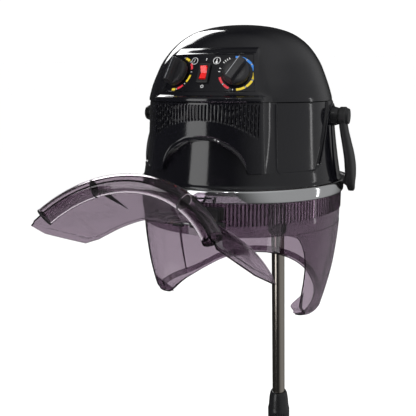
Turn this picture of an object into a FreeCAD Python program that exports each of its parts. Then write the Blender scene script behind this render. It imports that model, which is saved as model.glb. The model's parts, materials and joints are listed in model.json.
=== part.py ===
import FreeCAD, Part
import math
import os

# Hood hair dryer on a height-adjustable mast with a five-star caster base.
# Millimetres, +Z up, floor at Z = 0, mast axis at X = Y = 0, face side towards -Y.

# ---- driving dimensions -------------------------------------------------------
RING_Z = 1180.0          # height of the chrome ring (middle) above the floor
HOOD_Y = -181.0          # hood axis in front of the mast axis
PIVOT_Z = 104.0          # tilt axis above the ring middle
TILT = 4.0               # hood front raised by this angle in the rest pose

RING_R = 160.0           # chrome ring outside radius
RING_H = 18.0
SEAM_Z = 127.0           # joint between upper and lower shell
WALL = 3.0               # shell wall
SKIRT_WALL = 2.5

TUBE_R = 12.5            # sliding mast tube
TUBE_WALL = 1.5
LOWER_R = 16.0           # fixed mast tube
LOWER_WALL = 1.5
COLLAR_TOP = 695.0       # height-lock collar, top edge above the floor
COLLAR_R = 22.0
COLLAR_H = 92.0
TUBE_BOTTOM = 330.0      # lower end of the sliding tube
SOCKET_R = 16.0
SOCKET_TOP = -2.0        # swivel socket, measured from the ring middle
SOCKET_BOTTOM = -143.0

HOOP_R = 166.0           # yoke hoop inside radius
HOOP_T = 12.0
HOOP_H = 24.0
ARM_W = 20.0
ARM_T = 9.5
ARM_X = 154.5           # inner face of the yoke arm at the pivot

LEG_R = 285.0            # caster stem circle
HUB_R = 36.0
WHEEL_R = 25.0
WHEEL_W = 9.0
TRAIL = 18.0
STEM_R = 5.5

KNOB_R = 19.0
KNOB_ANGLE = 19.2        # knob positions either side of the switch
SWITCH_ANGLE = -1.7      # the controls sit a little to the left of the middle
PANEL_SLOPE = 26.0
PANEL_Z = 165.0
PANEL_RAD = 132.5        # panel face radius at PANEL_Z

HINGE_Y = -164.0         # visor hinge axis in hood coordinates
HINGE_Z = -38.0
VISOR_TOP_R = 160.5
VISOR_LOW_R = 133.0
VISOR_LEN = 190.0
VISOR_HALF = 56.0
VISOR_RAISE = 126.0      # opening angle of the visor in the rest pose

CONSOLE_Y = 12.5         # axis of the console's curved front, behind the hood axis
PANEL_SKIN = 3.0         # console wall
FLARE = 0.27             # the console sides spread by this much per millimetre towards the back

UPPER_PROFILE = [(0, 238), (30, 236.6), (56, 232), (79, 223.6), (92.5, 214.7), (102, 206), (109.5, 197),
                 (115.5, 188), (120.4, 179.4), (124.3, 170.3), (127.9, 161.3), (131.3, 152.2),
                 (134.4, 143), (137.1, 134), (139, SEAM_Z)]
LOWER_PROFILE = [(139.3, SEAM_Z - 0.5), (140.8, 112), (143.6, 85), (147.6, 55), (151.6, 30), (155, 10)]
SKIRT_PROFILE = [(156, 7), (156, -20), (155.5, -50), (152.8, -75), (149, -100), (144, -127),
                 (137, -155), (130.5, -178), (124, -200)]

# console front: distance in front of the hood axis at its middle, and height
PANEL_LINE = [(99.0, 207), (108.0, 204), (115.0, 200), (118.8, 196), (121.0, 192), (146.85, 139), (148.5, 136.5),
              (153.5, 134), (155.0, 132.5), (155.5, 129.5), (155.0, 127.2)]
FASCIA_LINE = [(153.5, 126.8), (154.3, 122), (156.5, 90), (157.7, 60), (158.5, 32)]
# console half width: height, half width, and the distance in front at which it is measured
CONSOLE_SIDES = [(20, 84.2, 139.5), (90, 82.2, 137.3), (127, 80.5, 135.8), (163, 67, 115.4), (192, 61.5, 106),
                 (210, 59.5, 96)]
ARCH = [(-64, 20), (-63.5, 32), (-60.6, 41.2), (-55.3, 50.6), (-47, 60), (-35, 68), (-23, 74), (-8, 76.6), (8, 76.6),
        (23, 74), (35, 68), (47, 60), (55.3, 50.6), (60.6, 41.2), (63.5, 32), (64, 20)]

V = FreeCAD.Vector
ZAX = V(0, 0, 1)
XAX = V(1, 0, 0)


# ---- helpers ------------------------------------------------------------------
def save(name, shape):
    shape.exportStep("parts/" + name + ".step")


def cyl(r, h, pos=V(0, 0, 0), axis=ZAX):
    return Part.makeCylinder(r, h, pos, axis)


def tube(ro, ri, h, pos=V(0, 0, 0), axis=ZAX):
    return cyl(ro, h, pos, axis).cut(cyl(ri, h, pos, axis))


def box(x0, x1, y0, y1, z0, z1):
    return Part.makeBox(x1 - x0, y1 - y0, z1 - z0, V(x0, y0, z0))


def spline(points):
    curve = Part.BSplineCurve()
    curve.interpolate([V(r, 0, z) for r, z in points])
    return curve.toShape()


def offset_points(points, dist):
    out = []
    for i, (r, z) in enumerate(points):
        r0, z0 = points[max(i - 1, 0)]
        r1, z1 = points[min(i + 1, len(points) - 1)]
        dr, dz = r1 - r0, z1 - z0
        n = math.hypot(dr, dz)
        out.append((max(r + dist * dz / n, 0.0) if r > 0 else 0.0, z - dist * dr / n))
    return out


def shell_face(points, wall):
    inner = offset_points(points, wall)
    inner[-1] = (inner[-1][0], points[-1][1])
    if points[0][0] > 0:
        inner[0] = (inner[0][0], points[0][1])
    a = spline(points)
    b = spline(inner)
    e0 = Part.makeLine(V(points[0][0], 0, points[0][1]), V(inner[0][0], 0, inner[0][1]))
    e1 = Part.makeLine(V(points[-1][0], 0, points[-1][1]), V(inner[-1][0], 0, inner[-1][1]))
    return Part.Face(Part.Wire(Part.__sortEdges__([a, e1, b, e0])))


def poly_face(points):
    pts = [V(r, 0, z) for r, z in points]
    return Part.Face(Part.makePolygon(pts + [pts[0]]))


def revolve(face, half=180.0):
    """Turn a section about Z; a partial turn is centred on the front (-Y)."""
    f = face.copy()
    if half >= 180.0:
        return f.revolve(V(0, 0, 0), ZAX, 360)
    f.rotate(V(0, 0, 0), ZAX, -90.0 - half)
    return f.revolve(V(0, 0, 0), ZAX, 2.0 * half)


def mirror_x(shape):
    return shape.mirror(V(0, 0, 0), XAX)


def polar(shape, count, start=0.0):
    out = []
    for i in range(count):
        s = shape.copy()
        s.rotate(V(0, 0, 0), ZAX, start + 360.0 * i / count)
        out.append(s)
    return out


def frame_at(theta, rad, z, slope):
    """Placement on the hood front: local X right, Y up the surface, Z outwards."""
    t, s = math.radians(theta), math.radians(slope)
    n = V(math.sin(t) * math.cos(s), -math.cos(t) * math.cos(s), math.sin(s))
    u = V(-math.sin(t) * math.sin(s), math.cos(t) * math.sin(s), math.cos(s))
    x = u.cross(n)
    rot = FreeCAD.Rotation(x, u, n, "ZXY")
    return FreeCAD.Placement(V(rad * math.sin(t), -rad * math.cos(t), z), rot)


def put(shape, placement):
    s = shape.copy()
    s.Placement = placement.multiply(s.Placement)
    return s


def to_yoke(shape):
    s = shape.copy()
    s.translate(V(0, HOOD_Y, RING_Z))
    return s


def to_hood(shape):
    s = shape.copy()
    s.rotate(V(0, 0, PIVOT_Z), XAX, -TILT)
    s.translate(V(0, HOOD_Y, RING_Z))
    return s


def to_visor(shape):
    s = shape.copy()
    s.rotate(V(0, HINGE_Y, HINGE_Z), XAX, -VISOR_RAISE)
    return to_hood(s)


# ---- base ---------------------------------------------------------------------
def leg():
    xs = [(24, 74, 116, 21), (120, 76, 104, 17), (230, 76, 96, 13.5), (LEG_R, 76, 94, 12)]
    wires = []
    for x, z0, z1, w in xs:
        pts = [V(x, -w, z0), V(x, w, z0), V(x, w, z1 - 6), V(x, w * 0.55, z1), V(x, -w * 0.55, z1), V(x, -w, z1 - 6)]
        wires.append(Part.makePolygon(pts + [pts[0]]))
    arm = Part.makeLoft(wires, True, True)
    end = cyl(13, 20, V(LEG_R, 0, 75))
    return arm.fuse(end).cut(cyl(STEM_R + 0.05, 17, V(LEG_R, 0, 74)))


def star_base():
    hub = cyl(HUB_R, 60, V(0, 0, 70))
    cone = Part.makeCone(HUB_R, 22, 22, V(0, 0, 130))
    s = hub.fuse(cone)
    for g in polar(leg(), 5, 90):
        s = s.fuse(g)
    s = s.cut(cyl(LOWER_R, 80, V(0, 0, 82)))
    s = s.cut(cyl(5.1, 40, V(0, 0, 60)))
    return s.removeSplitter()


def caster(i):
    """Twin-wheel caster i, trailing outwards: fork (with stem and axle) and wheel pair."""
    a = cyl(STEM_R, 15, V(0, 0, 74))
    a = a.fuse(cyl(11, 3, V(0, 0, 71.5)))
    body = cyl(WHEEL_R - 5, 9, V(TRAIL, 4.5, WHEEL_R), V(0, -1, 0))
    neck = box(-9, 14, -4.5, 4.5, 34, 72)
    a = a.fuse(neck).fuse(body)
    hood = tube(WHEEL_R + 5, WHEEL_R + 2.2, 27, V(TRAIL, 13.5, WHEEL_R), V(0, -1, 0))
    hood = hood.common(box(-40, 36, -14, 14, 34, 60))
    a = a.fuse(hood)
    a = a.fuse(cyl(3, 27, V(TRAIL, 13.5, WHEEL_R), V(0, -1, 0)))
    w = tube(WHEEL_R, 3.05, WHEEL_W, V(TRAIL, 14.2, WHEEL_R), V(0, -1, 0))
    w2 = tube(WHEEL_R, 3.05, WHEEL_W, V(TRAIL, -5.2, WHEEL_R), V(0, -1, 0))
    wheels = Part.makeCompound([w, w2])
    out = []
    for s in (a, wheels):
        s = s.copy()
        s.translate(V(LEG_R, 0, 0))
        s.rotate(V(0, 0, 0), ZAX, 90 + 72.0 * i)
        out.append(s)
    return out


def base_bolt():
    """Centre bolt that draws the fixed tube into the hub, with its plug inside the tube."""
    s = cyl(5, 34, V(0, 0, 66))
    s = s.fuse(cyl(11, 3, V(0, 0, 66.9))).fuse(cyl(8, 6, V(0, 0, 61)))
    return s.fuse(cyl(LOWER_R - LOWER_WALL, 22, V(0, 0, 86)))


# ---- mast ---------------------------------------------------------------------
def lower_tube():
    return tube(LOWER_R, LOWER_R - LOWER_WALL, COLLAR_TOP - 40 - 82, V(0, 0, 82))


def tube_bush():
    z = COLLAR_TOP - 40
    s = cyl(LOWER_R - LOWER_WALL, 60, V(0, 0, z - 60)).fuse(cyl(LOWER_R, 4, V(0, 0, z)))
    return s.cut(cyl(TUBE_R + 0.1, 70, V(0, 0, z - 62)))


def collet():
    z = COLLAR_TOP - 36
    s = Part.makeCone(17.0, 14.8, 24, V(0, 0, z))
    s = s.cut(cyl(TUBE_R + 0.1, 30, V(0, 0, z - 1)))
    for a in (0, 60, 120):
        slit = box(-20, 20, -0.6, 0.6, z + 5, z + 30)
        slit.rotate(V(0, 0, 0), ZAX, a)
        s = s.cut(slit)
    return s


def height_collar():
    top = COLLAR_TOP
    bot = COLLAR_TOP - COLLAR_H
    pts = [(13.2, top), (14.6, top), (17.0, top - 4), (19.0, top - 16), (20.6, top - 34), (COLLAR_R, top - 44),
           (COLLAR_R, top - 76), (20.4, top - 84), (17.6, bot), (16.15, bot), (16.15, top - 36.0),
           (17.4, top - 36.0), (15.2, top - 11.6), (13.2, top - 11.6)]
    return revolve(poly_face(pts))


def upper_tube():
    top = RING_Z + SOCKET_TOP - 30
    return tube(TUBE_R, TUBE_R - TUBE_WALL, top - TUBE_BOTTOM, V(0, 0, TUBE_BOTTOM))


def tube_glide():
    s = cyl(LOWER_R - LOWER_WALL - 0.1, 18, V(0, 0, TUBE_BOTTOM - 18))
    s = s.fuse(cyl(TUBE_R - TUBE_WALL, 25, V(0, 0, TUBE_BOTTOM)))
    return s.cut(cyl(6, 50, V(0, 0, TUBE_BOTTOM - 20)))


# ---- yoke ---------------------------------------------------------------------
def yoke_socket():
    d = -HOOD_Y
    pts = [(0, SOCKET_TOP), (9, SOCKET_TOP), (SOCKET_R - 2.2, SOCKET_TOP - 5), (SOCKET_R - 2.2, SOCKET_TOP - 26),
           (SOCKET_R, SOCKET_TOP - 30), (SOCKET_R, SOCKET_BOTTOM + 16), (18, SOCKET_BOTTOM + 13),
           (18, SOCKET_BOTTOM + 1.5), (17, SOCKET_BOTTOM), (TUBE_R + 0.08, SOCKET_BOTTOM),
           (TUBE_R + 0.08, SOCKET_TOP - 27.9), (0, SOCKET_TOP - 27.9)]
    s = revolve(poly_face(pts))
    s.translate(V(0, d, 0))
    rear_screw = cyl(3, 20, V(0, d + 10, SOCKET_BOTTOM + 7), V(0, 1, 0))
    return s.cut(rear_screw)


def yoke_hoop():
    face = poly_face([(HOOP_R, -HOOP_H + 2), (HOOP_R + 2, -HOOP_H), (HOOP_R + HOOP_T - 3, -HOOP_H),
                      (HOOP_R + HOOP_T, -HOOP_H + 3), (HOOP_R + HOOP_T, -5), (HOOP_R + HOOP_T - 3, -2),
                      (HOOP_R + 2, -2), (HOOP_R, -4)])
    hoop_face = face.copy()
    hoop_face.rotate(V(0, 0, 0), ZAX, -1.5)
    hoop = hoop_face.revolve(V(0, 0, 0), ZAX, 183)
    x0 = ARM_X
    inner = [(x0, PIVOT_Z + 2), (x0, PIVOT_Z - 14), (x0 + 3.5, 70), (HOOP_R + 0.7, 34), (HOOP_R + 1.2, -HOOP_H + 1.3)]
    outer = [(HOOP_R + HOOP_T - 1.4, -HOOP_H + 1.3), (HOOP_R + HOOP_T - 2, 30), (x0 + 15, 70),
             (x0 + ARM_T, PIVOT_Z - 14), (x0 + ARM_T, PIVOT_Z + 2)]
    pts = [V(x, -ARM_W / 2, z) for x, z in inner + outer]
    arm = Part.Face(Part.makePolygon(pts + [pts[0]])).extrude(V(0, ARM_W, 0))
    arm = arm.fuse(cyl(ARM_W / 2 + 2, ARM_T, V(x0, 0, PIVOT_Z), XAX))
    bore = cyl(4.05, 60, V(x0 - 20, 0, PIVOT_Z), XAX)
    arm = arm.cut(bore)
    s = hoop.fuse(arm).fuse(mirror_x(arm))
    s = s.cut(cyl(SOCKET_R - 2.2, 60, V(0, -HOOD_Y, -40)))
    lug = tube(SOCKET_R + 6, SOCKET_R - 2.2, HOOP_H - 3, V(0, -HOOD_Y, -HOOP_H + 0.5))
    lug = lug.cut(cyl(HOOP_R, 80, V(0, 0, -60)))
    return s.fuse(lug).removeSplitter()


def pivot_bolt():
    """Shoulder bolt with its inner nut plate, on the +X side."""
    x0 = ARM_X - 16.0
    s = cyl(4.0, 26.2, V(x0, 0, PIVOT_Z), XAX)
    return s.fuse(cyl(7.5, 3.2, V(x0 - 4.2, 0, PIVOT_Z), XAX)).fuse(cyl(4.0, 3, V(x0 - 2, 0, PIVOT_Z), XAX))


def pivot_washer():
    return tube(11.5, 4.05, 1.4, V(ARM_X - 1.45, 0, PIVOT_Z), XAX)


def pivot_cap():
    x0 = ARM_X + ARM_T + 0.02
    s = Part.makeCone(12.5, 11, 4, V(x0, 0, PIVOT_Z), XAX)
    return s.cut(cyl(4.0, 0.9, V(x0, 0, PIVOT_Z), XAX))


def yoke_screw():
    d = -HOOD_Y
    y0 = d + TUBE_R + 0.2
    s = cyl(3, 3.0, V(0, y0, SOCKET_BOTTOM + 7), V(0, 1, 0))
    return s.fuse(cyl(4.8, 2.6, V(0, d + 18.0, SOCKET_BOTTOM + 7), V(0, 1, 0)))


# ---- hood shells --------------------------------------------------------------
def panel_opening():
    s = box(-64, 64, -34, 34, -34, 30)
    return put(s, frame_at(0, PANEL_RAD - 8, PANEL_Z, PANEL_SLOPE))


def upper_shell():
    s = revolve(shell_face(UPPER_PROFILE, WALL))
    s = s.cut(panel_opening().common(box(-60, 60, -160, -60, 141, 188)))
    for x in (-30, -20, -10, 0, 10, 20, 30):
        s = s.cut(box(x - 2.5, x + 2.5, 60, 150, 150, 186))
    return s.cut(cyl(7.6, 60, V(0, 100, 140), V(0, 1, 0)))


def lower_shell():
    s = revolve(shell_face(LOWER_PROFILE, WALL))
    lip = revolve(poly_face([(132.5, SEAM_Z - 3.2), (136.6, SEAM_Z - 3.2), (136.6, SEAM_Z - 6), (132.5, SEAM_Z - 6)]))
    foot = revolve(poly_face([(150.2, -6), (153.2, -6), (153.2, 10.5), (152, 13), (150.2, 13)]))
    s = s.fuse(lip).fuse(foot)
    pts = [(144, 14), (158, 14), (156, 40), (152.2, 80), (149.6, 112), (146.5, SEAM_Z - 0.5), (138, SEAM_Z - 1)]
    pillar = revolve(poly_face(pts), 6.0)
    right = pillar.copy()
    right.rotate(V(0, 0, 0), ZAX, 90)
    boss = cyl(12, 14, V(ARM_X - 15.6, 0, PIVOT_Z), XAX)
    side = right.fuse(boss)
    s = s.fuse(side).fuse(mirror_x(side))
    bore = cyl(4.05, 60, V(120, 0, PIVOT_Z), XAX)
    s = s.cut(bore).cut(mirror_x(bore))
    return s.removeSplitter()


def console_sides(inset=0.0):
    """Tapered block that gives the console its flared side walls."""
    wires = []
    for y in (-176.0, -58.0):
        half = [(w + FLARE * (y + d) - inset, z) for z, w, d in CONSOLE_SIDES]
        pts = [V(x, y, z) for x, z in half] + [V(-x, y, z) for x, z in reversed(half)]
        wires.append(Part.makePolygon(pts + [pts[0]]))
    return Part.makeLoft(wires, True, True)


def console_turned(line, outer=0.0, inner=None):
    """Console front turned about its own axis: solid, or a skin between two offsets."""
    front = [(d + outer + CONSOLE_Y, z) for d, z in line]
    if inner is None:
        back = [(60.0, line[-1][1]), (60.0, line[0][1])]
    else:
        back = [(d + inner + CONSOLE_Y, z) for d, z in reversed(line)]
    s = revolve(poly_face(front + back), 44.0)
    s.translate(V(0, CONSOLE_Y, 0))
    return s


def turned_fill(points, grow):
    """Everything inside a shell profile."""
    pts = [(r + grow if r > 0 else 0.0, z) for r, z in points]
    edge = spline(pts)
    z0, z1 = pts[0][1], pts[-1][1]
    lines = [Part.makeLine(V(pts[-1][0], 0, z1), V(0, 0, z1)), Part.makeLine(V(0, 0, z1), V(0, 0, z0))]
    if pts[0][0] > 0:
        lines.append(Part.makeLine(V(0, 0, z0), V(pts[0][0], 0, z0)))
    return revolve(Part.Face(Part.Wire(Part.__sortEdges__([edge] + lines))))


def arch_prism(grow=0.0):
    """Arched opening at the foot of the console, cut through towards the front."""
    k = (64.0 + grow) / 64.0
    edge = Part.BSplineCurve()
    edge.interpolate([V(x * k, -100, z + (grow if abs(x) < 50 else grow * 0.6)) for x, z in ARCH])
    z0 = ARCH[0][1] + grow * 0.6
    face = Part.Face(Part.Wire([edge.toShape(), Part.makeLine(V(64 * k, -100, z0), V(-64 * k, -100, z0))]))
    return face.extrude(V(0, -90, 0))


def fascia():
    """Lower console: front wall, side walls and legs on either side of the arch."""
    outer = console_turned(FASCIA_LINE).common(console_sides())
    hollow_line = [(d - PANEL_SKIN, z) for d, z in [(153.5, 140)] + FASCIA_LINE[:-1] + [(158.4, 35.2)]]
    hollow = console_turned(hollow_line).common(console_sides(PANEL_SKIN + 0.1)).cut(arch_prism(PANEL_SKIN))
    s = outer.cut(hollow).cut(arch_prism())
    return s.cut(turned_fill([(139.0, 128.0)] + LOWER_PROFILE, 0.3))


def panel_plate():
    """Upper console: brow, sloping control panel and overhanging lip."""
    outer = console_turned(PANEL_LINE).common(console_sides())
    hollow_line = [(d - PANEL_SKIN * 1.1, z) for d, z in PANEL_LINE[2:6]]
    hollow_line += [(147.0, 136.0), (151.0, 131.5), (151.5, 120.0)]
    hollow = console_turned(hollow_line).common(console_sides(PANEL_SKIN + 0.1))
    s = outer.cut(hollow).cut(turned_fill(UPPER_PROFILE, 0.05)).cut(box(-120, 120, -200, 0, 100, 127.15))
    for a in (SWITCH_ANGLE - KNOB_ANGLE, SWITCH_ANGLE + KNOB_ANGLE):
        s = s.cut(put(cyl(3.6, 40, V(0, 0, -25)), frame_at(a, PANEL_RAD, PANEL_Z, PANEL_SLOPE)))
    return s.cut(put(box(-6.2, 6.2, -12.2, 12.2, -25, 20), frame_at(SWITCH_ANGLE, PANEL_RAD, PANEL_Z, PANEL_SLOPE)))


def dial_scale(angle):
    """Thin printed ring round a knob, on the curved panel."""
    s = put(tube(25.3, 21.3, 20, V(0, 0, -9)), frame_at(angle, PANEL_RAD, PANEL_Z, PANEL_SLOPE))
    skin = console_turned([PANEL_LINE[4], PANEL_LINE[5]], 0.6, 0.08)
    return skin.common(s)


def knob(angle, pointer):
    disc = Part.makeCone(KNOB_R, KNOB_R - 1.0, 7, V(0, 0, 4.2))
    bar = box(-3.6, 3.6, -17.0, 17.0, 11, 20.5)
    ring = cyl(KNOB_R - 2, 3, V(0, 0, 11.0))
    bar.rotate(V(0, 0, 0), ZAX, pointer)
    s = disc.fuse(ring).fuse(bar).fuse(cyl(3.0, 22, V(0, 0, -16)))
    return put(s.removeSplitter(), frame_at(angle, PANEL_RAD, PANEL_Z, PANEL_SLOPE))


def rocker_bezel():
    s = box(-8, 8, -14, 14, 1.7, 4.6).fuse(box(-6.1, 6.1, -12.1, 12.1, -22, 1.7))
    s = s.cut(box(-5.2, 5.2, -10.2, 10.2, -8, 6))
    return put(s, frame_at(SWITCH_ANGLE, PANEL_RAD, PANEL_Z, PANEL_SLOPE))


def rocker_button():
    pts = [V(-4.8, -9.0, -1.0), V(-4.8, -9.0, 5.2), V(-4.8, 0, 2.6), V(-4.8, 9.0, 8.2), V(-4.8, 9.0, -1.0),
           V(-4.8, 0, -6.5)]
    f = Part.Face(Part.makePolygon(pts + [pts[0]]))
    s = f.extrude(V(9.6, 0, 0)).fuse(cyl(1.6, 10.3, V(-5.15, 0, -0.5), XAX))
    return put(s, frame_at(SWITCH_ANGLE, PANEL_RAD, PANEL_Z, PANEL_SLOPE))


def control_body(angle, w, h, d, bore):
    """Timer or thermostat body behind the panel, with a bushing for the knob spindle."""
    s = box(-w / 2, w / 2, -h / 2, h / 2, -12 - d, -12)
    s = s.fuse(cyl(3.5, 4, V(0, 0, -12.1)))
    s = s.cut(cyl(bore, 14, V(0, 0, -17)))
    return put(s, frame_at(angle, PANEL_RAD, PANEL_Z, PANEL_SLOPE))


def chrome_ring():
    h = RING_H / 2
    pts = [(156.2, -h), (158.5, -h), (RING_R - 0.4, -h + 2.5), (RING_R, -2), (RING_R, 2), (RING_R - 0.4, h - 2.5),
           (158.5, h), (156.2, h)]
    return revolve(poly_face(pts))


# ---- skirt and visor ----------------------------------------------------------
def skirt():
    s = revolve(shell_face(SKIRT_PROFILE, SKIRT_WALL))
    front = [(-112, -57), (112, -57), (121, -63), (127, -78), (129, -103), (126, -133), (120, -165), (117, -230),
             (-117, -230), (-120, -165), (-126, -133), (-129, -103), (-127, -78), (-121, -63)]
    pts = [V(x, 0, z) for x, z in front]
    s = s.cut(Part.Face(Part.makePolygon(pts + [pts[0]])).extrude(V(0, -200, 0)))
    rim = [(200, -151), (148, -152), (139, -158), (122, -167), (100, -178), (78, -189), (55, -196), (28, -198.5),
           (0, -197), (-22, -192), (-50, -183), (-90, -176), (-200, -170)]
    edge = Part.BSplineCurve()
    edge.interpolate([V(-200, y, z) for y, z in rim])
    y0, y1 = rim[0][0], rim[-1][0]
    wire = Part.Wire([edge.toShape(),
                      Part.makeLine(V(-200, y1, rim[-1][1]), V(-200, y1, -260)),
                      Part.makeLine(V(-200, y1, -260), V(-200, y0, -260)),
                      Part.makeLine(V(-200, y0, -260), V(-200, y0, rim[0][1]))])
    s = s.cut(Part.Face(wire).extrude(V(400, 0, 0)))
    return s


def visor_patch(r_off, wall, z0, z1, half):
    """Slice of the conical visor in the closed position, hinge edge at the top."""
    slope = (VISOR_TOP_R - VISOR_LOW_R) / VISOR_LEN

    def rad(z):
        return VISOR_TOP_R - slope * (HINGE_Z - 10 - z) + r_off
    pts = [(rad(z0), z0), (rad(z1), z1), (rad(z1) - wall, z1), (rad(z0) - wall, z0)]
    return revolve(poly_face(pts), half)


def visor():
    top = HINGE_Z - 16
    s = visor_patch(0, 2.4, top, HINGE_Z - VISOR_LEN, VISOR_HALF)
    for x in (-30, 30):
        s = s.cut(cyl(1.5, 60, V(x, -190, HINGE_Z - 20), V(0, 1, 0)))
    return s


def visor_roll():
    """Half-round grip along the free edge of the visor."""
    z = HINGE_Z - VISOR_LEN
    r = VISOR_LOW_R + 1.0
    face = Part.Face(Part.Wire(Part.makeCircle(8.0, V(r + 1.5, 0, z + 2), V(0, 1, 0))))
    s = revolve(face, VISOR_HALF - 6)
    hollow = Part.Face(Part.Wire(Part.makeCircle(6.0, V(r + 1.5, 0, z + 2), V(0, 1, 0))))
    s = s.cut(revolve(hollow, VISOR_HALF - 5))
    return s.cut(visor_patch(0.0, 2.4, HINGE_Z - 16, HINGE_Z - VISOR_LEN, VISOR_HALF))


def roll_cap(sign):
    z = HINGE_Z - VISOR_LEN
    r = VISOR_LOW_R + 1.0
    face = Part.Face(Part.Wire(Part.makeCircle(8.4, V(r + 1.5, 0, z + 2), V(0, 1, 0))))
    f = face.copy()
    f.rotate(V(0, 0, 0), ZAX, -90 + sign * (VISOR_HALF - 6) - (5 if sign < 0 else 0))
    s = f.revolve(V(0, 0, 0), ZAX, 5)
    return s.cut(visor_patch(0.0, 2.4, HINGE_Z - 16, HINGE_Z - VISOR_LEN, VISOR_HALF))


def hinge_bar():
    """Curved clamp bar along the hinge edge of the visor, with the two hinge knuckles."""
    s = visor_patch(4.2, 4.2, HINGE_Z - 14, HINGE_Z - 26, 21)
    for x in (-17.5, 17.5):
        k = cyl(6.0, 11, V(x - 5.5, HINGE_Y, HINGE_Z), XAX)
        k = k.fuse(box(x - 5.5, x + 5.5, HINGE_Y - 4, HINGE_Y + 6.5, HINGE_Z - 17, HINGE_Z))
        k = k.cut(cyl(2.55, 20, V(x - 10, HINGE_Y, HINGE_Z), XAX))
        s = s.fuse(k)
    s = s.cut(visor_patch(0.0, 2.4, HINGE_Z - 10, HINGE_Z - VISOR_LEN, VISOR_HALF))
    for x in (-30, 30):
        s = s.cut(cyl(1.5, 60, V(x, -190, HINGE_Z - 20), V(0, 1, 0)))
        s = s.cut(cyl(3.5, 29.4, V(x, -190, HINGE_Z - 20), V(0, 1, 0)))
    return s


def hinge_bracket():
    """Bracket on the front of the skirt band: three lugs round the hinge pin."""
    band = revolve(poly_face([(156.4, -14), (159.4, -14), (159.4, -32), (156.4, -32)]), 12.5)
    s = band
    for x0, x1 in ((-28.5, -23.5), (-11.5, 11.5), (23.5, 28.5)):
        lug = cyl(6.0, x1 - x0, V(x0, HINGE_Y, HINGE_Z), XAX)
        arm = box(x0, x1, HINGE_Y - 1, -152, HINGE_Z - 4, -18)
        arm = arm.cut(cyl(156.4, 80, V(0, 0, -80)))
        lug = lug.cut(cyl(156.4, 80, V(0, 0, -80)))
        s = s.fuse(lug.fuse(arm))
    s = s.cut(cyl(2.5, 80, V(-40, HINGE_Y, HINGE_Z), XAX))
    return s.removeSplitter()


def hinge_pin():
    s = cyl(2.5, 62, V(-31, HINGE_Y, HINGE_Z), XAX)
    return s


def hinge_knob(side):
    """Small friction knob on the end of the hinge pin."""
    x0 = 28.8 if side > 0 else -37.8
    s = cyl(5.6, 9, V(x0, HINGE_Y, HINGE_Z), XAX)
    inner = V(28.0, HINGE_Y, HINGE_Z) if side > 0 else V(-31.0, HINGE_Y, HINGE_Z)
    return s.cut(cyl(2.5, 3, inner, XAX))


def visor_screws():
    out = []
    for x in (-30, 30):
        z = HINGE_Z - 20
        s = cyl(1.45, 6.4, V(x, -160.6, z), V(0, 1, 0))
        s = s.fuse(cyl(3.2, 2.2, V(x, -162.8, z), V(0, 1, 0)))
        out.append(s)
    return Part.makeCompound(out)


# ---- inside the hood ----------------------------------------------------------
def inner_bowl():
    pts = [(48.4, 99.7), (70, 95), (95, 83), (115, 66), (129, 44), (137, 20), (140, 2)]
    s = revolve(shell_face(pts, 1.5))
    rim = revolve(poly_face([(138.2, 0.2), (150.1, 0.2), (150.1, 2.2), (138.2, 2.2)]))
    s = s.fuse(rim)
    for c in polar(box(100, 134, -3, 3, 30, 92), 24, 7.5):
        s = s.cut(c)
    return s


def bowl_grille():
    s = tube(47.9, 44, 4, V(0, 0, 98.6))
    for r in (14, 24, 34):
        s = s.fuse(tube(r + 1.5, r - 1.5, 2, V(0, 0, 99.6)))
    for a in (0, 60, 120):
        bar = box(-45, 45, -1.5, 1.5, 99.6, 101.6)
        bar.rotate(V(0, 0, 0), ZAX, a)
        s = s.fuse(bar)
    return s


def baffle():
    s = tube(134.5, 66, 2, V(0, 0, SEAM_Z - 3.2))
    for c in polar(cyl(2.1, 10, V(126, 0, SEAM_Z - 6)), 4, 45):
        s = s.cut(c)
    return s


def heater_frame():
    s = tube(64, 62, 14, V(0, 0, 109.0))
    for a in (0, 45, 90, 135):
        bar = box(-64, 64, -0.8, 0.8, 109, 122.5)
        bar.rotate(V(0, 0, 0), ZAX, a)
        s = s.fuse(bar)
    for x in polar(box(62, 84, -5, 5, 121.8, 123.7), 4, 22.5):
        s = s.fuse(x)
    return s


def heater_coil():
    """Resistance wire wound round the mica frame, drawn as concentric loops."""
    out = []
    for r in (24, 34, 44, 54):
        ring = Part.makeTorus(r, 1.6, V(0, 0, 116))
        for a in range(8):
            slot = box(0, 80, -0.9, 0.9, 100, 130)
            slot.rotate(V(0, 0, 0), ZAX, 45.0 * a)
            ring = ring.cut(slot)
        out.append(ring)
    return Part.makeCompound(out)


def fan():
    s = cyl(14, 22, V(0, 0, 131)).fuse(cyl(60, 1.6, V(0, 0, 151)))
    for b in polar(box(30, 58, -1.0, 1.0, 131, 151.5), 12):
        s = s.fuse(b)
    s = s.fuse(tube(60, 56, 1.6, V(0, 0, 131)))
    return s.cut(cyl(3, 40, V(0, 0, 125))).removeSplitter()


def motor_shaft():
    return cyl(3, 62, V(0, 0, 134))


def motor_body():
    s = cyl(32, 34, V(0, 0, 168.2))
    s = s.fuse(cyl(14, 5, V(0, 0, 202.2))).fuse(cyl(12, 3, V(0, 0, 165.3)))
    return s.cut(cyl(3.05, 60, V(0, 0, 150)))


def motor_bracket():
    s = cyl(34, 2.5, V(0, 0, 165.6))
    arms = []
    for a in (45, 135, 225, 315):
        bar = box(20, 92, -7, 7, 165.6, 168.1)
        post = box(88, 92, -7, 7, 125.9, 168.1)
        foot = box(88, 104, -7, 7, 125.9, 128.0)
        g = bar.fuse(post).fuse(foot)
        g.rotate(V(0, 0, 0), ZAX, a)
        arms.append(g)
    for g in arms:
        s = s.fuse(g)
    return s.cut(cyl(12.1, 20, V(0, 0, 160))).removeSplitter()


def thermal_cutout():
    s = cyl(8, 9, V(0, 78, 114.6)).fuse(box(-12, 12, 74, 82, 112.4, 114.8))
    return s


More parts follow.
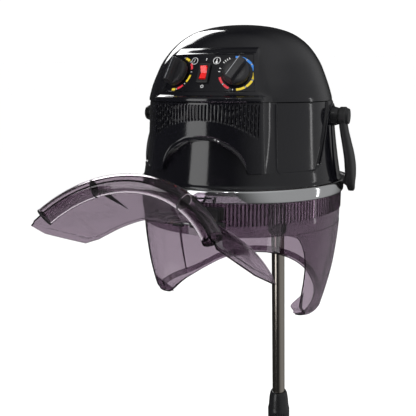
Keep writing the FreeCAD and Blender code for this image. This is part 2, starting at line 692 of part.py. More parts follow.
def terminal_block():
    s = box(-24, 24, 96, 112, 125.9, 140)
    for x in (-16, -8, 0, 8, 16):
        s = s.cut(cyl(2.2, 10, V(x, 104, 134)))
    return s


def cord_gland():
    """Strain relief on the back of the upper shell (the cord itself is not part of the set)."""
    s = tube(7.5, 4.2, 18, V(0, 131.0, 140), V(0, 1, 0))
    return s.fuse(tube(10.5, 4.2, 3, V(0, 138.6, 140), V(0, 1, 0)))


def baffle_screws():
    out = []
    for a in (45, 135, 225, 315):
        t = math.radians(a)
        x, y = 126 * math.cos(t), 126 * math.sin(t)
        out.append(cyl(2.0, 5, V(x, y, SEAM_Z - 3.2)).fuse(cyl(3.8, 2, V(x, y, SEAM_Z - 1.2))))
    return Part.makeCompound(out)


def seam_gasket():
    """Black joint strip that fills the groove between the two shells."""
    z = SEAM_Z - 0.5
    return revolve(poly_face([(136.0, z), (138.5, z), (138.5, SEAM_Z), (136.0, SEAM_Z)]))


# ---- write the parts ----------------------------------------------------------
def main():
    os.makedirs("parts", exist_ok=True)
    save("star_base", star_base())
    save("base_bolt", base_bolt())
    for i in range(5):
        fork, wheels = caster(i)
        save("caster_fork_" + str(i + 1), fork)
        save("caster_wheels_" + str(i + 1), wheels)
    save("lower_tube", lower_tube())
    save("tube_bush", tube_bush())
    save("collet", collet())
    save("height_collar", height_collar())
    save("upper_tube", upper_tube())
    save("tube_glide", tube_glide())

    save("yoke_socket", to_yoke(yoke_socket()))
    save("yoke_arm", to_yoke(yoke_hoop()))
    save("pivot_bolts", to_yoke(Part.makeCompound([pivot_bolt(), mirror_x(pivot_bolt())])))
    save("pivot_washers", to_yoke(Part.makeCompound([pivot_washer(), mirror_x(pivot_washer())])))
    save("pivot_caps", to_yoke(Part.makeCompound([pivot_cap(), mirror_x(pivot_cap())])))
    save("socket_screw", to_yoke(yoke_screw()))

    save("upper_shell", to_hood(upper_shell()))
    save("lower_shell", to_hood(lower_shell()))
    save("seam_gasket", to_hood(seam_gasket()))
    save("front_fascia", to_hood(fascia()))
    save("panel_plate", to_hood(panel_plate()))
    save("timer_scale", to_hood(dial_scale(SWITCH_ANGLE - KNOB_ANGLE)))
    save("temperature_scale", to_hood(dial_scale(SWITCH_ANGLE + KNOB_ANGLE)))
    save("timer_knob", to_hood(knob(SWITCH_ANGLE - KNOB_ANGLE, 0)))
    save("temperature_knob", to_hood(knob(SWITCH_ANGLE + KNOB_ANGLE, -31)))
    save("rocker_bezel", to_hood(rocker_bezel()))
    save("rocker_button", to_hood(rocker_button()))
    save("timer_body", to_hood(control_body(SWITCH_ANGLE - KNOB_ANGLE, 32, 34, 20, 3.05)))
    save("thermostat_body", to_hood(control_body(SWITCH_ANGLE + KNOB_ANGLE, 30, 30, 18, 3.05)))
    save("chrome_ring", to_hood(chrome_ring()))
    save("skirt", to_hood(skirt()))

    save("inner_bowl", to_hood(inner_bowl()))
    save("bowl_grille", to_hood(bowl_grille()))
    save("baffle", to_hood(baffle()))
    save("baffle_screws", to_hood(baffle_screws()))
    save("heater_frame", to_hood(heater_frame()))
    save("heater_coil", to_hood(heater_coil()))
    save("fan_wheel", to_hood(fan()))
    save("motor_shaft", to_hood(motor_shaft()))
    save("motor_body", to_hood(motor_body()))
    save("motor_bracket", to_hood(motor_bracket()))
    save("thermal_cutout", to_hood(thermal_cutout()))
    save("terminal_block", to_hood(terminal_block()))
    save("cord_gland", to_hood(cord_gland()))

    save("hinge_bracket", to_hood(hinge_bracket()))
    save("hinge_pin", to_hood(hinge_pin()))
    save("visor_sheet", to_visor(visor()))
    save("visor_roll", to_visor(visor_roll()))
    save("roll_caps", to_visor(Part.makeCompound([roll_cap(1), roll_cap(-1)])))
    save("hinge_bar", to_visor(hinge_bar()))
    save("hinge_knobs", to_hood(Part.makeCompound([hinge_knob(1), hinge_knob(-1)])))
    save("visor_screws", to_visor(visor_screws()))


main()
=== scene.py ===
"""Looks of the hood hair dryer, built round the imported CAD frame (metres; local work in millimetres)."""

import json
import math

import bmesh
import bpy
import numpy as np
from mathutils import Matrix, Vector


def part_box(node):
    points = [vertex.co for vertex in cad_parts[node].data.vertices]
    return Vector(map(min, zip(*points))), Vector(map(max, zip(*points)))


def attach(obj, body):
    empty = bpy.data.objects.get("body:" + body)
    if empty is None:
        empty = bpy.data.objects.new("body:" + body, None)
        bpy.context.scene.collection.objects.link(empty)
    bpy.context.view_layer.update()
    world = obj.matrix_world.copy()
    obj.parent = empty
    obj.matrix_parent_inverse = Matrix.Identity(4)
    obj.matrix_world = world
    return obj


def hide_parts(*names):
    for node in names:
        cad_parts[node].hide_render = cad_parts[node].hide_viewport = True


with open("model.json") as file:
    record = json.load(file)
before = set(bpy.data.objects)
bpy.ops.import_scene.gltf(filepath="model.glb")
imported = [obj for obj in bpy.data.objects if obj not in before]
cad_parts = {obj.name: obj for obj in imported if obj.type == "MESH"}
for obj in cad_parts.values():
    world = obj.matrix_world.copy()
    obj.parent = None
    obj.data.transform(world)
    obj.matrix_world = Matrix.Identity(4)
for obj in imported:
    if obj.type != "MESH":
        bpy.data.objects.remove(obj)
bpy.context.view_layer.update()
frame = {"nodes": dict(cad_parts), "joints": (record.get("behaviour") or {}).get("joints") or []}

JOINT = {j["name"]: j for j in frame["joints"]}
MM = 0.001

# ---- places read from the frame ----
tilt_joint = JOINT["hood_tilt"]
flip_joint = JOINT["visor_flip"]
PIVOT = Vector(tilt_joint["pos_m"])
HINGE = Vector(flip_joint["pos_m"])
TILT = math.radians(-tilt_joint["range_deg"][0])
RAISE = math.radians(flip_joint["range_deg"][1])
PIVOT_Z = 104.0                              # tilt axis above the ring middle, mm
HINGE_Y, HINGE_Z = -164.0, -38.0             # visor hinge in hood coordinates, mm

# ---- driving sizes, mm ----
RING_R, RING_H = 160.0, 18.0
SEAM_Z = 127.0
KNOB_ANGLE, SWITCH_ANGLE, PANEL_SLOPE, PANEL_Z, PANEL_RAD = 19.2, -1.7, 26.0, 165.0, 132.5
TIMER_ANGLE, TEMPERATURE_ANGLE = SWITCH_ANGLE - KNOB_ANGLE, SWITCH_ANGLE + KNOB_ANGLE
CONSOLE_Y = 12.5                             # the console front is turned about an axis this far behind
PLATE_DEPTH = 1.5                            # control plate set into the console
SKIRT_WALL, VISOR_WALL = 2.5, 2.4
VISOR_TOP_R, VISOR_LOW_R, VISOR_LEN = 160.5, 133.0, 190.0

DOME = [(0, 238), (30, 236.6), (56, 232), (79, 223.6), (92.5, 214.7), (102, 206), (109.5, 197), (115.5, 188),
        (120.4, 179.4), (124.3, 170.3), (127.9, 161.3), (131.3, 152.2), (134.4, 143), (137.1, 134), (139, SEAM_Z)]
LOWER = [(139.3, SEAM_Z - 0.5), (140.8, 112), (143.6, 85), (147.6, 55), (151.6, 30), (155, 10)]
SKIRT = [(156, 7), (156, -20), (155.6, -50), (154, -75), (151.3, -100), (147.5, -127), (141.5, -155),
         (135.5, -178), (129, -200)]
# console, each as (value, height): distance of its front from the hood axis, half width of the front, and angle where
# its sides meet the body; then the edge of the arched opening as (sideways place, height)
PANEL_LINE = [(102.5, 202), (107.5, 200.3), (112, 197.9), (115.6, 195.4), (118.6, 193.3), (120.8, 192.3),
              (146.6, 139.6), (148.0, 137.4), (150.4, 135.6), (154.2, 134.2), (155.6, 132.6), (155.8, 129.5),
              (154.9, 127.3)]
FASCIA_LINE = [(153.6, 126.6), (154.3, 122), (156.5, 90), (157.7, 60), (158.5, 32)]
HALF_WIDTH = [(59, 210), (61.5, 192), (66.5, 163), (72, 141), (77, 135), (80.3, 131), (80.5, 127), (82.2, 90),
              (84.2, 32)]
SIDE_ANGLE = [(35.0, 210), (36.9, 168), (38.2, 131), (38.8, 82), (39.6, 32)]
LEG_BOTTOM = 32.0                            # lower end of the console's legs
FLUTES, FLUTE_REACH = 31, 76.9               # moulded ribs, and how far they go to each side
FLUTE_ARC_R = 155.0 + CONSOLE_Y
ARCH = [(0, 77), (8, 76.6), (23, 74), (35, 68), (47, 60), (55.3, 50.6), (60.6, 41.2), (63.3, 33.5)]

YOKE = Matrix.Translation(PIVOT) @ Matrix.Scale(MM, 4) @ Matrix.Translation((0, 0, -PIVOT_Z))
HOOD = (Matrix.Translation(PIVOT) @ Matrix.Rotation(-TILT, 4, "X") @ Matrix.Scale(MM, 4)
        @ Matrix.Translation((0, 0, -PIVOT_Z)))
VISOR = (Matrix.Translation(HINGE) @ Matrix.Rotation(-TILT - RAISE, 4, "X") @ Matrix.Scale(MM, 4)
         @ Matrix.Translation((0, -HINGE_Y, -HINGE_Z)))
WORLD = Matrix.Scale(MM, 4)


# ---- small maths ----
def spline(points, count):
    """Catmull-Rom curve through points, sampled evenly along its chord length."""
    p = np.array(points, float)
    t = np.concatenate([[0], np.cumsum(np.linalg.norm(np.diff(p, axis=0), axis=1))])
    m = np.gradient(p, t, axis=0)
    s = np.linspace(0, t[-1], count)
    i = np.clip(np.searchsorted(t, s, side="right") - 1, 0, len(t) - 2)
    h = (t[i + 1] - t[i])[:, None]
    u = ((s - t[i]) / h[:, 0])[:, None]
    return ((2 * u**3 - 3 * u**2 + 1) * p[i] + (u**3 - 2 * u**2 + u) * h * m[i]
            + (-2 * u**3 + 3 * u**2) * p[i + 1] + (u**3 - u**2) * h * m[i + 1])


def step(x, a, b):
    """Smooth 0 to 1 as x goes from a to b."""
    t = np.clip((np.asarray(x, float) - a) / (b - a), 0, 1)
    return t * t * (3 - 2 * t)


def radius_at(profile, z):
    p = np.array(sorted(profile, key=lambda q: q[1]), float)
    dense = spline(p, 400)
    return np.interp(z, dense[:, 1], dense[:, 0])


def polar(theta, r, z):
    t = np.radians(theta)
    return np.stack(np.broadcast_arrays(r * np.sin(t), -r * np.cos(t), z), -1)


def fine(values, edges, width, extra=4):
    """Adds closely spaced samples round each edge, so a moulded step stays crisp."""
    out = list(values)
    for e in edges:
        out += list(np.linspace(e - width, e + width, extra * 2 + 1))
    lo, hi = min(values), max(values)
    return np.array(sorted({round(float(v), 4) for v in out if lo <= v <= hi}))


# ---- mesh builders ----
def make(name, verts, faces, matrix, mat, sharp=35.0, bevel=0.0):
    mesh = bpy.data.meshes.new(name)
    mesh.from_pydata([tuple(v) for v in verts], [], [tuple(f) for f in faces])
    bm = bmesh.new()
    bm.from_mesh(mesh)
    bmesh.ops.remove_doubles(bm, verts=bm.verts, dist=1e-5)
    bmesh.ops.recalc_face_normals(bm, faces=bm.faces)
    bm.to_mesh(mesh)
    bm.free()
    mesh.transform(matrix)
    for poly in mesh.polygons:
        poly.use_smooth = True
    mesh.set_sharp_from_angle(angle=math.radians(sharp))
    obj = bpy.data.objects.new(name, mesh)
    bpy.context.scene.collection.objects.link(obj)
    for m in (mat if isinstance(mat, (list, tuple)) else [mat]):
        mesh.materials.append(m)
    if bevel:
        mod = obj.modifiers.new("bevel", "BEVEL")
        mod.width = bevel * MM
        mod.segments = 2
        mod.limit_method = "ANGLE"
        mod.angle_limit = math.radians(40)
        mod.harden_normals = True
    return obj


def shell(name, outer, inner, matrix, mat, wrap=False, cap_start=False, sharp=35.0):
    """Closed wall between two grids [column, row, xyz]; wrap joins the last column to the first."""
    nu, nv = outer.shape[:2]
    verts = np.concatenate([outer.reshape(-1, 3), inner.reshape(-1, 3)])
    base = nu * nv
    cols = range(nu if wrap else nu - 1)
    faces = []
    for i in cols:
        k = (i + 1) % nu
        for j in range(nv - 1):
            a, b, c, d = i * nv + j, k * nv + j, k * nv + j + 1, i * nv + j + 1
            faces.append((a, b, c, d))
            faces.append((base + a, base + d, base + c, base + b))
        for j in ((nv - 1,) if cap_start else (0, nv - 1)):
            faces.append((i * nv + j, k * nv + j, base + k * nv + j, base + i * nv + j))
    if cap_start:
        faces.append([i * nv for i in range(nu)])
        faces.append([base + i * nv for i in range(nu)])
    if not wrap:
        for i in (0, nu - 1):
            for j in range(nv - 1):
                a, b = i * nv + j, i * nv + j + 1
                faces.append((a, b, base + b, base + a))
    return make(name, verts, faces, matrix, mat, sharp)


def lathe(name, profile, matrix, mat, segments=192, sharp=32.0, centre=(0, 0), ripple=None):
    """Turns a closed section of (r, z) points about Z; ripple(theta, r, z) may change the radius."""
    theta = np.linspace(0, 360, segments, endpoint=False)
    n = len(profile)
    verts = []
    for t in theta:
        for r, z in profile:
            rr = ripple(t, r, z) if ripple else r
            a = math.radians(t)
            verts.append((centre[0] + rr * math.sin(a), centre[1] - rr * math.cos(a), z))
    faces = []
    for i in range(segments):
        k = (i + 1) % segments
        for j in range(n):
            l = (j + 1) % n
            if profile[j][0] == 0 and profile[l][0] == 0:
                continue
            faces.append((i * n + j, k * n + j, k * n + l, i * n + l))
    return make(name, verts, faces, matrix, mat, sharp)


def sweep(name, path, normals, section, matrix, mat, sharp=40.0, scale=None):
    """Sweeps a section of (along normal, along binormal) points along a path."""
    path = np.asarray(path, float)
    tangents = np.gradient(path, axis=0)
    tangents /= np.linalg.norm(tangents, axis=1)[:, None]
    n = len(section)
    verts, faces = [], []
    for i, (p, t) in enumerate(zip(path, tangents)):
        nrm = np.asarray(normals[i], float)
        nrm = nrm - t * nrm.dot(t)
        nrm /= np.linalg.norm(nrm)
        b = np.cross(t, nrm)
        k = scale[i] if scale is not None else (1.0, 1.0)
        verts += [p + nrm * a * k[0] + b * c * k[1] for a, c in section]
    for i in range(len(path) - 1):
        for j in range(n):
            l = (j + 1) % n
            faces.append((i * n + j, i * n + l, (i + 1) * n + l, (i + 1) * n + j))
    faces.append(list(range(n)))
    faces.append([(len(path) - 1) * n + j for j in range(n)])
    return make(name, verts, faces, matrix, mat, sharp)


def rounded(w, h, power=3.0, count=28):
    """Superellipse section, half sizes w and h."""
    out = []
    for i in range(count):
        a = 2 * math.pi * i / count
        c, s = math.cos(a), math.sin(a)
        out.append((w * math.copysign(abs(c) ** (2 / power), c), h * math.copysign(abs(s) ** (2 / power), s)))
    return out


def panel_frame(theta, rad=PANEL_RAD, z=PANEL_Z, slope=PANEL_SLOPE):
    """Local frame on the hood front: X right, Y up the surface, Z outwards."""
    t, s = math.radians(theta), math.radians(slope)
    n = Vector((math.sin(t) * math.cos(s), -math.cos(t) * math.cos(s), math.sin(s)))
    u = Vector((-math.sin(t) * math.sin(s), math.cos(t) * math.sin(s), math.cos(s)))
    x = u.cross(n)
    m = Matrix((x, u, n)).transposed().to_4x4()
    m.translation = Vector((rad * math.sin(t), -rad * math.cos(t), z))
    return m


# ---- materials ----
def material(name, color, rough, metallic=0.0, rough_var=0.05, grain=0.0, grain_scale=900.0, smudge_scale=14.0,
             color_var=0.0, coat=0.0, coat_rough=0.05, specular=0.5, transmission=0.0, ior=1.5,
             emission=0.0, stretch=None):
    mat = bpy.data.materials.new(name)
    mat.use_nodes = True
    nt = mat.node_tree
    nodes, links = nt.nodes, nt.links
    bsdf = nodes["Principled BSDF"]
    bsdf.inputs["Base Color"].default_value = (*color, 1)
    bsdf.inputs["Metallic"].default_value = metallic
    bsdf.inputs["Coat Weight"].default_value = coat
    bsdf.inputs["Coat Roughness"].default_value = coat_rough
    bsdf.inputs["Specular IOR Level"].default_value = specular
    bsdf.inputs["Transmission Weight"].default_value = transmission
    bsdf.inputs["IOR"].default_value = ior
    if emission:
        bsdf.inputs["Emission Color"].default_value = (*color, 1)
        bsdf.inputs["Emission Strength"].default_value = emission
    coord = nodes.new("ShaderNodeTexCoord")
    source = coord.outputs["Object"]
    if stretch:
        mapping = nodes.new("ShaderNodeMapping")
        mapping.inputs["Scale"].default_value = stretch
        links.new(source, mapping.inputs["Vector"])
        source = mapping.outputs["Vector"]
    noise = nodes.new("ShaderNodeTexNoise")
    noise.inputs["Scale"].default_value = smudge_scale
    noise.inputs["Detail"].default_value = 6
    noise.inputs["Roughness"].default_value = 0.62
    links.new(source, noise.inputs["Vector"])
    ramp = nodes.new("ShaderNodeMapRange")
    ramp.inputs["From Min"].default_value = 0.3
    ramp.inputs["From Max"].default_value = 0.7
    ramp.inputs["To Min"].default_value = max(rough - rough_var, 0.01)
    ramp.inputs["To Max"].default_value = rough + rough_var
    links.new(noise.outputs["Fac"], ramp.inputs["Value"])
    links.new(ramp.outputs["Result"], bsdf.inputs["Roughness"])
    if color_var:
        mix = nodes.new("ShaderNodeMix")
        mix.data_type = "RGBA"
        mix.inputs["A"].default_value = (*[c * (1 - color_var) for c in color], 1)
        mix.inputs["B"].default_value = (*[min(c * (1 + color_var), 1) for c in color], 1)
        links.new(noise.outputs["Fac"], mix.inputs["Factor"])
        links.new(mix.outputs["Result"], bsdf.inputs["Base Color"])
    if grain:
        fine_noise = nodes.new("ShaderNodeTexNoise")
        fine_noise.inputs["Scale"].default_value = grain_scale
        fine_noise.inputs["Detail"].default_value = 3
        links.new(source, fine_noise.inputs["Vector"])
        bump = nodes.new("ShaderNodeBump")
        bump.inputs["Strength"].default_value = grain
        bump.inputs["Distance"].default_value = 0.0004
        links.new(fine_noise.outputs["Fac"], bump.inputs["Height"])
        links.new(bump.outputs["Normal"], bsdf.inputs["Normal"])
    return mat


GLOSS = material("gloss_black_moulding", (0.0042, 0.0042, 0.0060), 0.11, rough_var=0.035, grain=0.05, grain_scale=260,
                 coat=0.25, coat_rough=0.06)
SATIN = material("satin_black_nylon", (0.013, 0.013, 0.014), 0.42, rough_var=0.08, grain=0.22, grain_scale=1500)
SEMI = material("semi_gloss_black", (0.009, 0.009, 0.010), 0.27, rough_var=0.06, grain=0.12, grain_scale=900)
KNOB = material("knob_black", (0.013, 0.013, 0.015), 0.33, rough_var=0.06, grain=0.15, grain_scale=1400)
CHROME = material("polished_chrome", (0.66, 0.67, 0.68), 0.07, metallic=1, rough_var=0.03, smudge_scale=40)
NICKEL = material("nickel_tube", (0.42, 0.385, 0.345), 0.22, metallic=1, rough_var=0.07, smudge_scale=30,
                  color_var=0.12, stretch=(1, 1, 0.04))
POWDER = material("powder_black_tube", (0.02, 0.02, 0.02), 0.38, rough_var=0.05, grain=0.3, grain_scale=1800)
STEEL = material("zinc_steel", (0.56, 0.56, 0.57), 0.32, metallic=1, rough_var=0.09, smudge_scale=60, color_var=0.08)
BRASS = material("brass_screw", (0.78, 0.60, 0.33), 0.2, metallic=1, rough_var=0.06, smudge_scale=200)
SMOKE = material("smoke_plastic", (0.27, 0.215, 0.265), 0.035, rough_var=0.015, transmission=1.0, ior=1.45,
                 smudge_scale=10)
SMOKE_THIN = material("smoke_plastic_thin", (0.56, 0.50, 0.55), 0.04, rough_var=0.015, transmission=1.0, ior=1.45,
                      smudge_scale=10)
SMOKE_EDGE = material("smoke_plastic_thick", (0.13, 0.09, 0.125), 0.05, rough_var=0.02, transmission=1.0, ior=1.45)
# the red switch carries a painted glow: emission 0.25 in its own red, so it shines however it is lit
RED = material("red_switch", (0.75, 0.012, 0.012), 0.12, rough_var=0.04, transmission=0.25, coat=0.4,
               emission=0.25)
YELLOW = material("print_yellow", (0.85, 0.63, 0.03), 0.4, color_var=0.05)
PRINT_RED = material("print_red", (0.75, 0.03, 0.05), 0.4, color_var=0.05)
BLUE = material("print_blue", (0.03, 0.25, 0.80), 0.4, color_var=0.05)
GREY = material("print_grey", (0.33, 0.34, 0.36), 0.4, color_var=0.05)
WHITE = material("print_white", (0.82, 0.82, 0.82), 0.4, color_var=0.04)
MICA = material("mica_board", (0.55, 0.47, 0.33), 0.6, rough_var=0.1, color_var=0.2, smudge_scale=90)
COIL = material("coil_wire", (0.38, 0.34, 0.31), 0.4, metallic=1, rough_var=0.1)
FAN = material("fan_plastic", (0.72, 0.72, 0.69), 0.4, rough_var=0.06, grain=0.1)
ALU = material("bowl_aluminium", (0.66, 0.67, 0.68), 0.33, metallic=1, rough_var=0.1, smudge_scale=25, color_var=0.06)
TYRE = material("caster_tread", (0.05, 0.05, 0.052), 0.6, rough_var=0.1, grain=0.35, grain_scale=700)
RUBBER = material("gasket_rubber", (0.012, 0.012, 0.012), 0.7, grain=0.3)
CREAM = material("terminal_plastic", (0.62, 0.58, 0.47), 0.5, rough_var=0.08, grain=0.15)

NODE_MATERIALS = {
    SATIN: ["timer_body", "motor_bracket", "cord_gland", "hinge_bracket", "hinge_bar", "hinge_knobs", "rocker_bezel"],
    SEMI: ["star_base", "collet", "tube_bush", "tube_glide", "pivot_caps",
           *["caster_fork_%d" % i for i in range(1, 6)]],
    POWDER: ["lower_tube"],
    NICKEL: ["upper_tube"],
    STEEL: ["base_bolt", "pivot_bolts", "socket_screw", "baffle_screws", "hinge_pin", "motor_shaft", "motor_body",
            "thermal_cutout", "baffle"],
    BRASS: ["visor_screws"],
    MICA: ["heater_frame"],
    COIL: ["heater_coil"],
    FAN: ["fan_wheel"],
    ALU: ["inner_bowl", "bowl_grille"],
    TYRE: ["caster_wheels_%d" % i for i in range(1, 6)],
    RUBBER: ["seam_gasket", "pivot_washers"],
    CREAM: ["terminal_block", "thermostat_body"],
}


def dress_cad_nodes():
    """Better materials and softened edges for the CAD nodes that stay in view."""
    for mat, names in NODE_MATERIALS.items():
        for name in names:
            obj = frame["nodes"][name]
            obj.data.materials.clear()
            obj.data.materials.append(mat)
            if name.startswith(("caster", "star", "pivot_caps", "hinge", "cord", "terminal")):
                mod = obj.modifiers.new("bevel", "BEVEL")
                mod.width = 0.8 * MM
                mod.segments = 2
                mod.limit_method = "ANGLE"
                mod.angle_limit = math.radians(50)


# ---- hood ----
def add(obj, body, slot, *nodes):
    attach(obj, body)
    if nodes:
        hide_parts(*nodes)
    return obj


def closed_wall(profile, wall, count):
    """(outer, inner) rows of a turned wall, thickness measured square to the surface."""
    out = spline(profile, count)
    d = np.gradient(out, axis=0)
    d /= np.linalg.norm(d, axis=1)[:, None]
    inner = out + np.stack([d[:, 1], -d[:, 0]], 1) * wall
    inner[:, 0] = np.maximum(inner[:, 0], 0.3)
    out[:, 0] = np.maximum(out[:, 0], 0.3)
    return out, inner


def table(pairs, z):
    p = np.array(sorted(pairs, key=lambda q: q[1]), float)
    return np.interp(z, p[:, 1], p[:, 0])


def bulge(theta, z):
    """The body is fuller towards the front corners than a plain turned shape."""
    side = step(np.abs(theta), 15, 55) * (1 - step(np.abs(theta), 66, 100))
    return side * np.interp(z, [40, 82, 115, 150, 186, 222], [0, 3.2, 5.2, 6.0, 4.0, 0])


def body_radius(theta, z):
    z = np.asarray(z, float)
    return np.where(z > SEAM_Z - 0.3, radius_at(DOME, z), radius_at(LOWER, z)) + bulge(theta, z)


def console_point(x, z, lift=0.0):
    """Point on the console front at sideways place x and height z."""
    front = np.where(z > 127, table(PANEL_LINE, z), table(FASCIA_LINE, z)) + CONSOLE_Y + lift
    return np.stack(np.broadcast_arrays(x, CONSOLE_Y - np.sqrt(front ** 2 - x ** 2), z), -1)


def build_dome():
    theta = np.linspace(-180, 180, 240, endpoint=False)
    out, inner = closed_wall(DOME, 3.0, 90)
    inner[-1, 1] = out[-1, 1]
    out[-4:, 0] -= np.array([0.0, 0.1, 0.35, 0.9])
    B = bulge(theta[:, None], out[None, :, 1])
    o = polar(theta[:, None], out[None, :, 0] + B, out[None, :, 1])
    i = polar(theta[:, None], inner[None, :, 0] + B, inner[None, :, 1])
    add(shell("dome_shell", o, i, HOOD, GLOSS, wrap=True, cap_start=True), "hood", "black_shell", "upper_shell")


def console_grid(xs, rows, relief, count=16):
    """Console surface: front columns at fractions xs of the half width, then side walls back to the body."""
    cols = []
    for u in xs:
        half = table(HALF_WIDTH, rows(u))
        z = rows(u)
        edge = 1.4 * step(np.abs(u), 0.975, 1.0) ** 2
        cols.append(console_point(u * half, z, relief(u * half, z) - edge))
    cols = np.array(cols)
    for sign, index in ((-1, 0), (1, -1)):
        start = cols[index]
        z = start[:, 2]
        theta = sign * table(SIDE_ANGLE, z)
        end = polar(theta, body_radius(theta, z) - 0.6, z)
        t = np.linspace(0, 1, count)[1:, None, None]
        bow = 1.5 * np.sin(math.pi * t) * np.array([sign, 0.0, 0.0])
        wall = start[None] + (end - start)[None] * t - bow * 0.6
        wall[0] += np.array([sign * 0.3, 0.0, 0.0])
        cols = np.concatenate([wall[::-1], cols]) if sign < 0 else np.concatenate([cols, wall])
    return cols


def inwards(grid, depth):
    centre = np.array([0.0, CONSOLE_Y, 0.0])
    flat = (grid - centre) * np.array([1.0, 1.0, 0.0])
    length = np.linalg.norm(flat, axis=-1, keepdims=True)
    return grid - flat / length * depth


def build_panel():
    """Upper console: brow, sloping control plate set into it, cove and overhanging lip."""
    z = fine(np.linspace(127.3, 202, 90), [141.5, 191.5, 129, 134, 201, 199], 1.0)
    us = fine(np.linspace(-1, 1, 81), [-0.945, 0.945, -0.985, 0.985], 0.012)

    def relief(x, zz):
        half = table(HALF_WIDTH, zz)
        inside = 1 - step(np.abs(x) - half, -4.2, -3.2)
        return -PLATE_DEPTH * step(zz, 141.2, 141.9) * (1 - step(zz, 191.2, 191.8)) * inside
    outer = console_grid(us, lambda u: z, relief)
    inner = inwards(outer, 2.6)
    add(shell("front_panel", outer, inner, HOOD, GLOSS, sharp=26), "hood", "black_shell", "panel_plate")


def build_fascia():
    """Lower console: vertical flutes above a smooth field, with an arched opening between its two legs."""
    spread = math.degrees(math.asin(FLUTE_REACH / FLUTE_ARC_R))
    us = np.concatenate([np.linspace(-1, -0.957, 8), np.linspace(-0.955, 0.955, FLUTES * 12 + 1),
                         np.linspace(0.957, 1, 8)])
    arch = np.array(ARCH, float)
    foot_x = 64.2
    bed = np.array([arch[-1, 1] - 0.8, LEG_BOTTOM])

    def floor(x):
        x = abs(x)
        if x >= foot_x:
            return LEG_BOTTOM
        if x >= arch[-1, 0]:
            return float(np.interp(x, [arch[-1, 0], foot_x], bed))
        return float(np.interp(x, *spline(arch, 120).T))
    fractions = np.linspace(0, 1, 84)

    def rows(u):
        low = floor(u * 82.0)
        return np.concatenate([[low, low + 0.25, low + 0.8], low + 1.6 + (126.6 - low - 1.6) * fractions])

    def relief(x, z):
        low = np.array([floor(v) for v in np.atleast_1d(x)])
        phi = np.degrees(np.arcsin(np.clip(x / FLUTE_ARC_R, -1, 1)))
        wave = 0.5 + 0.5 * np.cos(math.pi * FLUTES * phi / spread)
        hem = 102.3 - 24.5 * (np.abs(x) / 77.6) ** 2.2
        zone = step(z, hem - 1.8 + 2.6 * (1 - wave), hem + 1.2 + 2.6 * (1 - wave)) * (1 - step(z, 123.2, 124.4))
        zone = zone * (1 - step(np.abs(x), 76.6, 77.2))
        groove = zone * (-0.35 * (1 - wave) - 1.7 * step(1 - wave, 0.42, 0.9))
        slope = np.where(np.abs(x) < 63, 0.02 * np.abs(x), 0.0)
        rim = (z - low) / np.sqrt(1 + slope ** 2)
        near = (low > 33.5) * 1.0
        bead = near * (0.9 * np.exp(-((rim - 1.6) / 1.3) ** 2) - 0.5 * np.exp(-((rim - 4.6) / 0.9) ** 2))
        first = -0.9 * (rim < 0.1) - 0.3 * ((rim > 0.1) & (rim < 0.5))
        return groove + bead + first
    face = console_grid(us, rows, relief)
    theta = np.degrees(np.arctan2(face[:, 0, 0], -face[:, 0, 1]))
    back = polar(theta, body_radius(theta, face[:, 0, 2]) - 1.0, face[:, 0, 2])
    depth = np.linalg.norm(back - face[:, 0], axis=1)[:, None]
    toward = (back - face[:, 0]) / np.maximum(depth, 0.1)
    mid = face[:, 0] + toward * np.minimum(depth, 0.8)
    outer = np.concatenate([back[:, None], mid[:, None], face], 1)
    inner = inwards(outer, 2.2)
    inner[:, 0] = back + (back - mid) / np.maximum(depth, 1) * 0.5 + np.array([0, 0, 0.6])
    inner[:, 1] = inner[:, 0] + np.array([0, 0, 0.4])
    inner[:, 2:4] = inwards(face[:, :2], 2.6) + np.array([0, 0, 2.0])
    add(shell("front_fascia_visual", outer, inner, HOOD, GLOSS, sharp=30), "hood", "black_shell", "front_fascia")


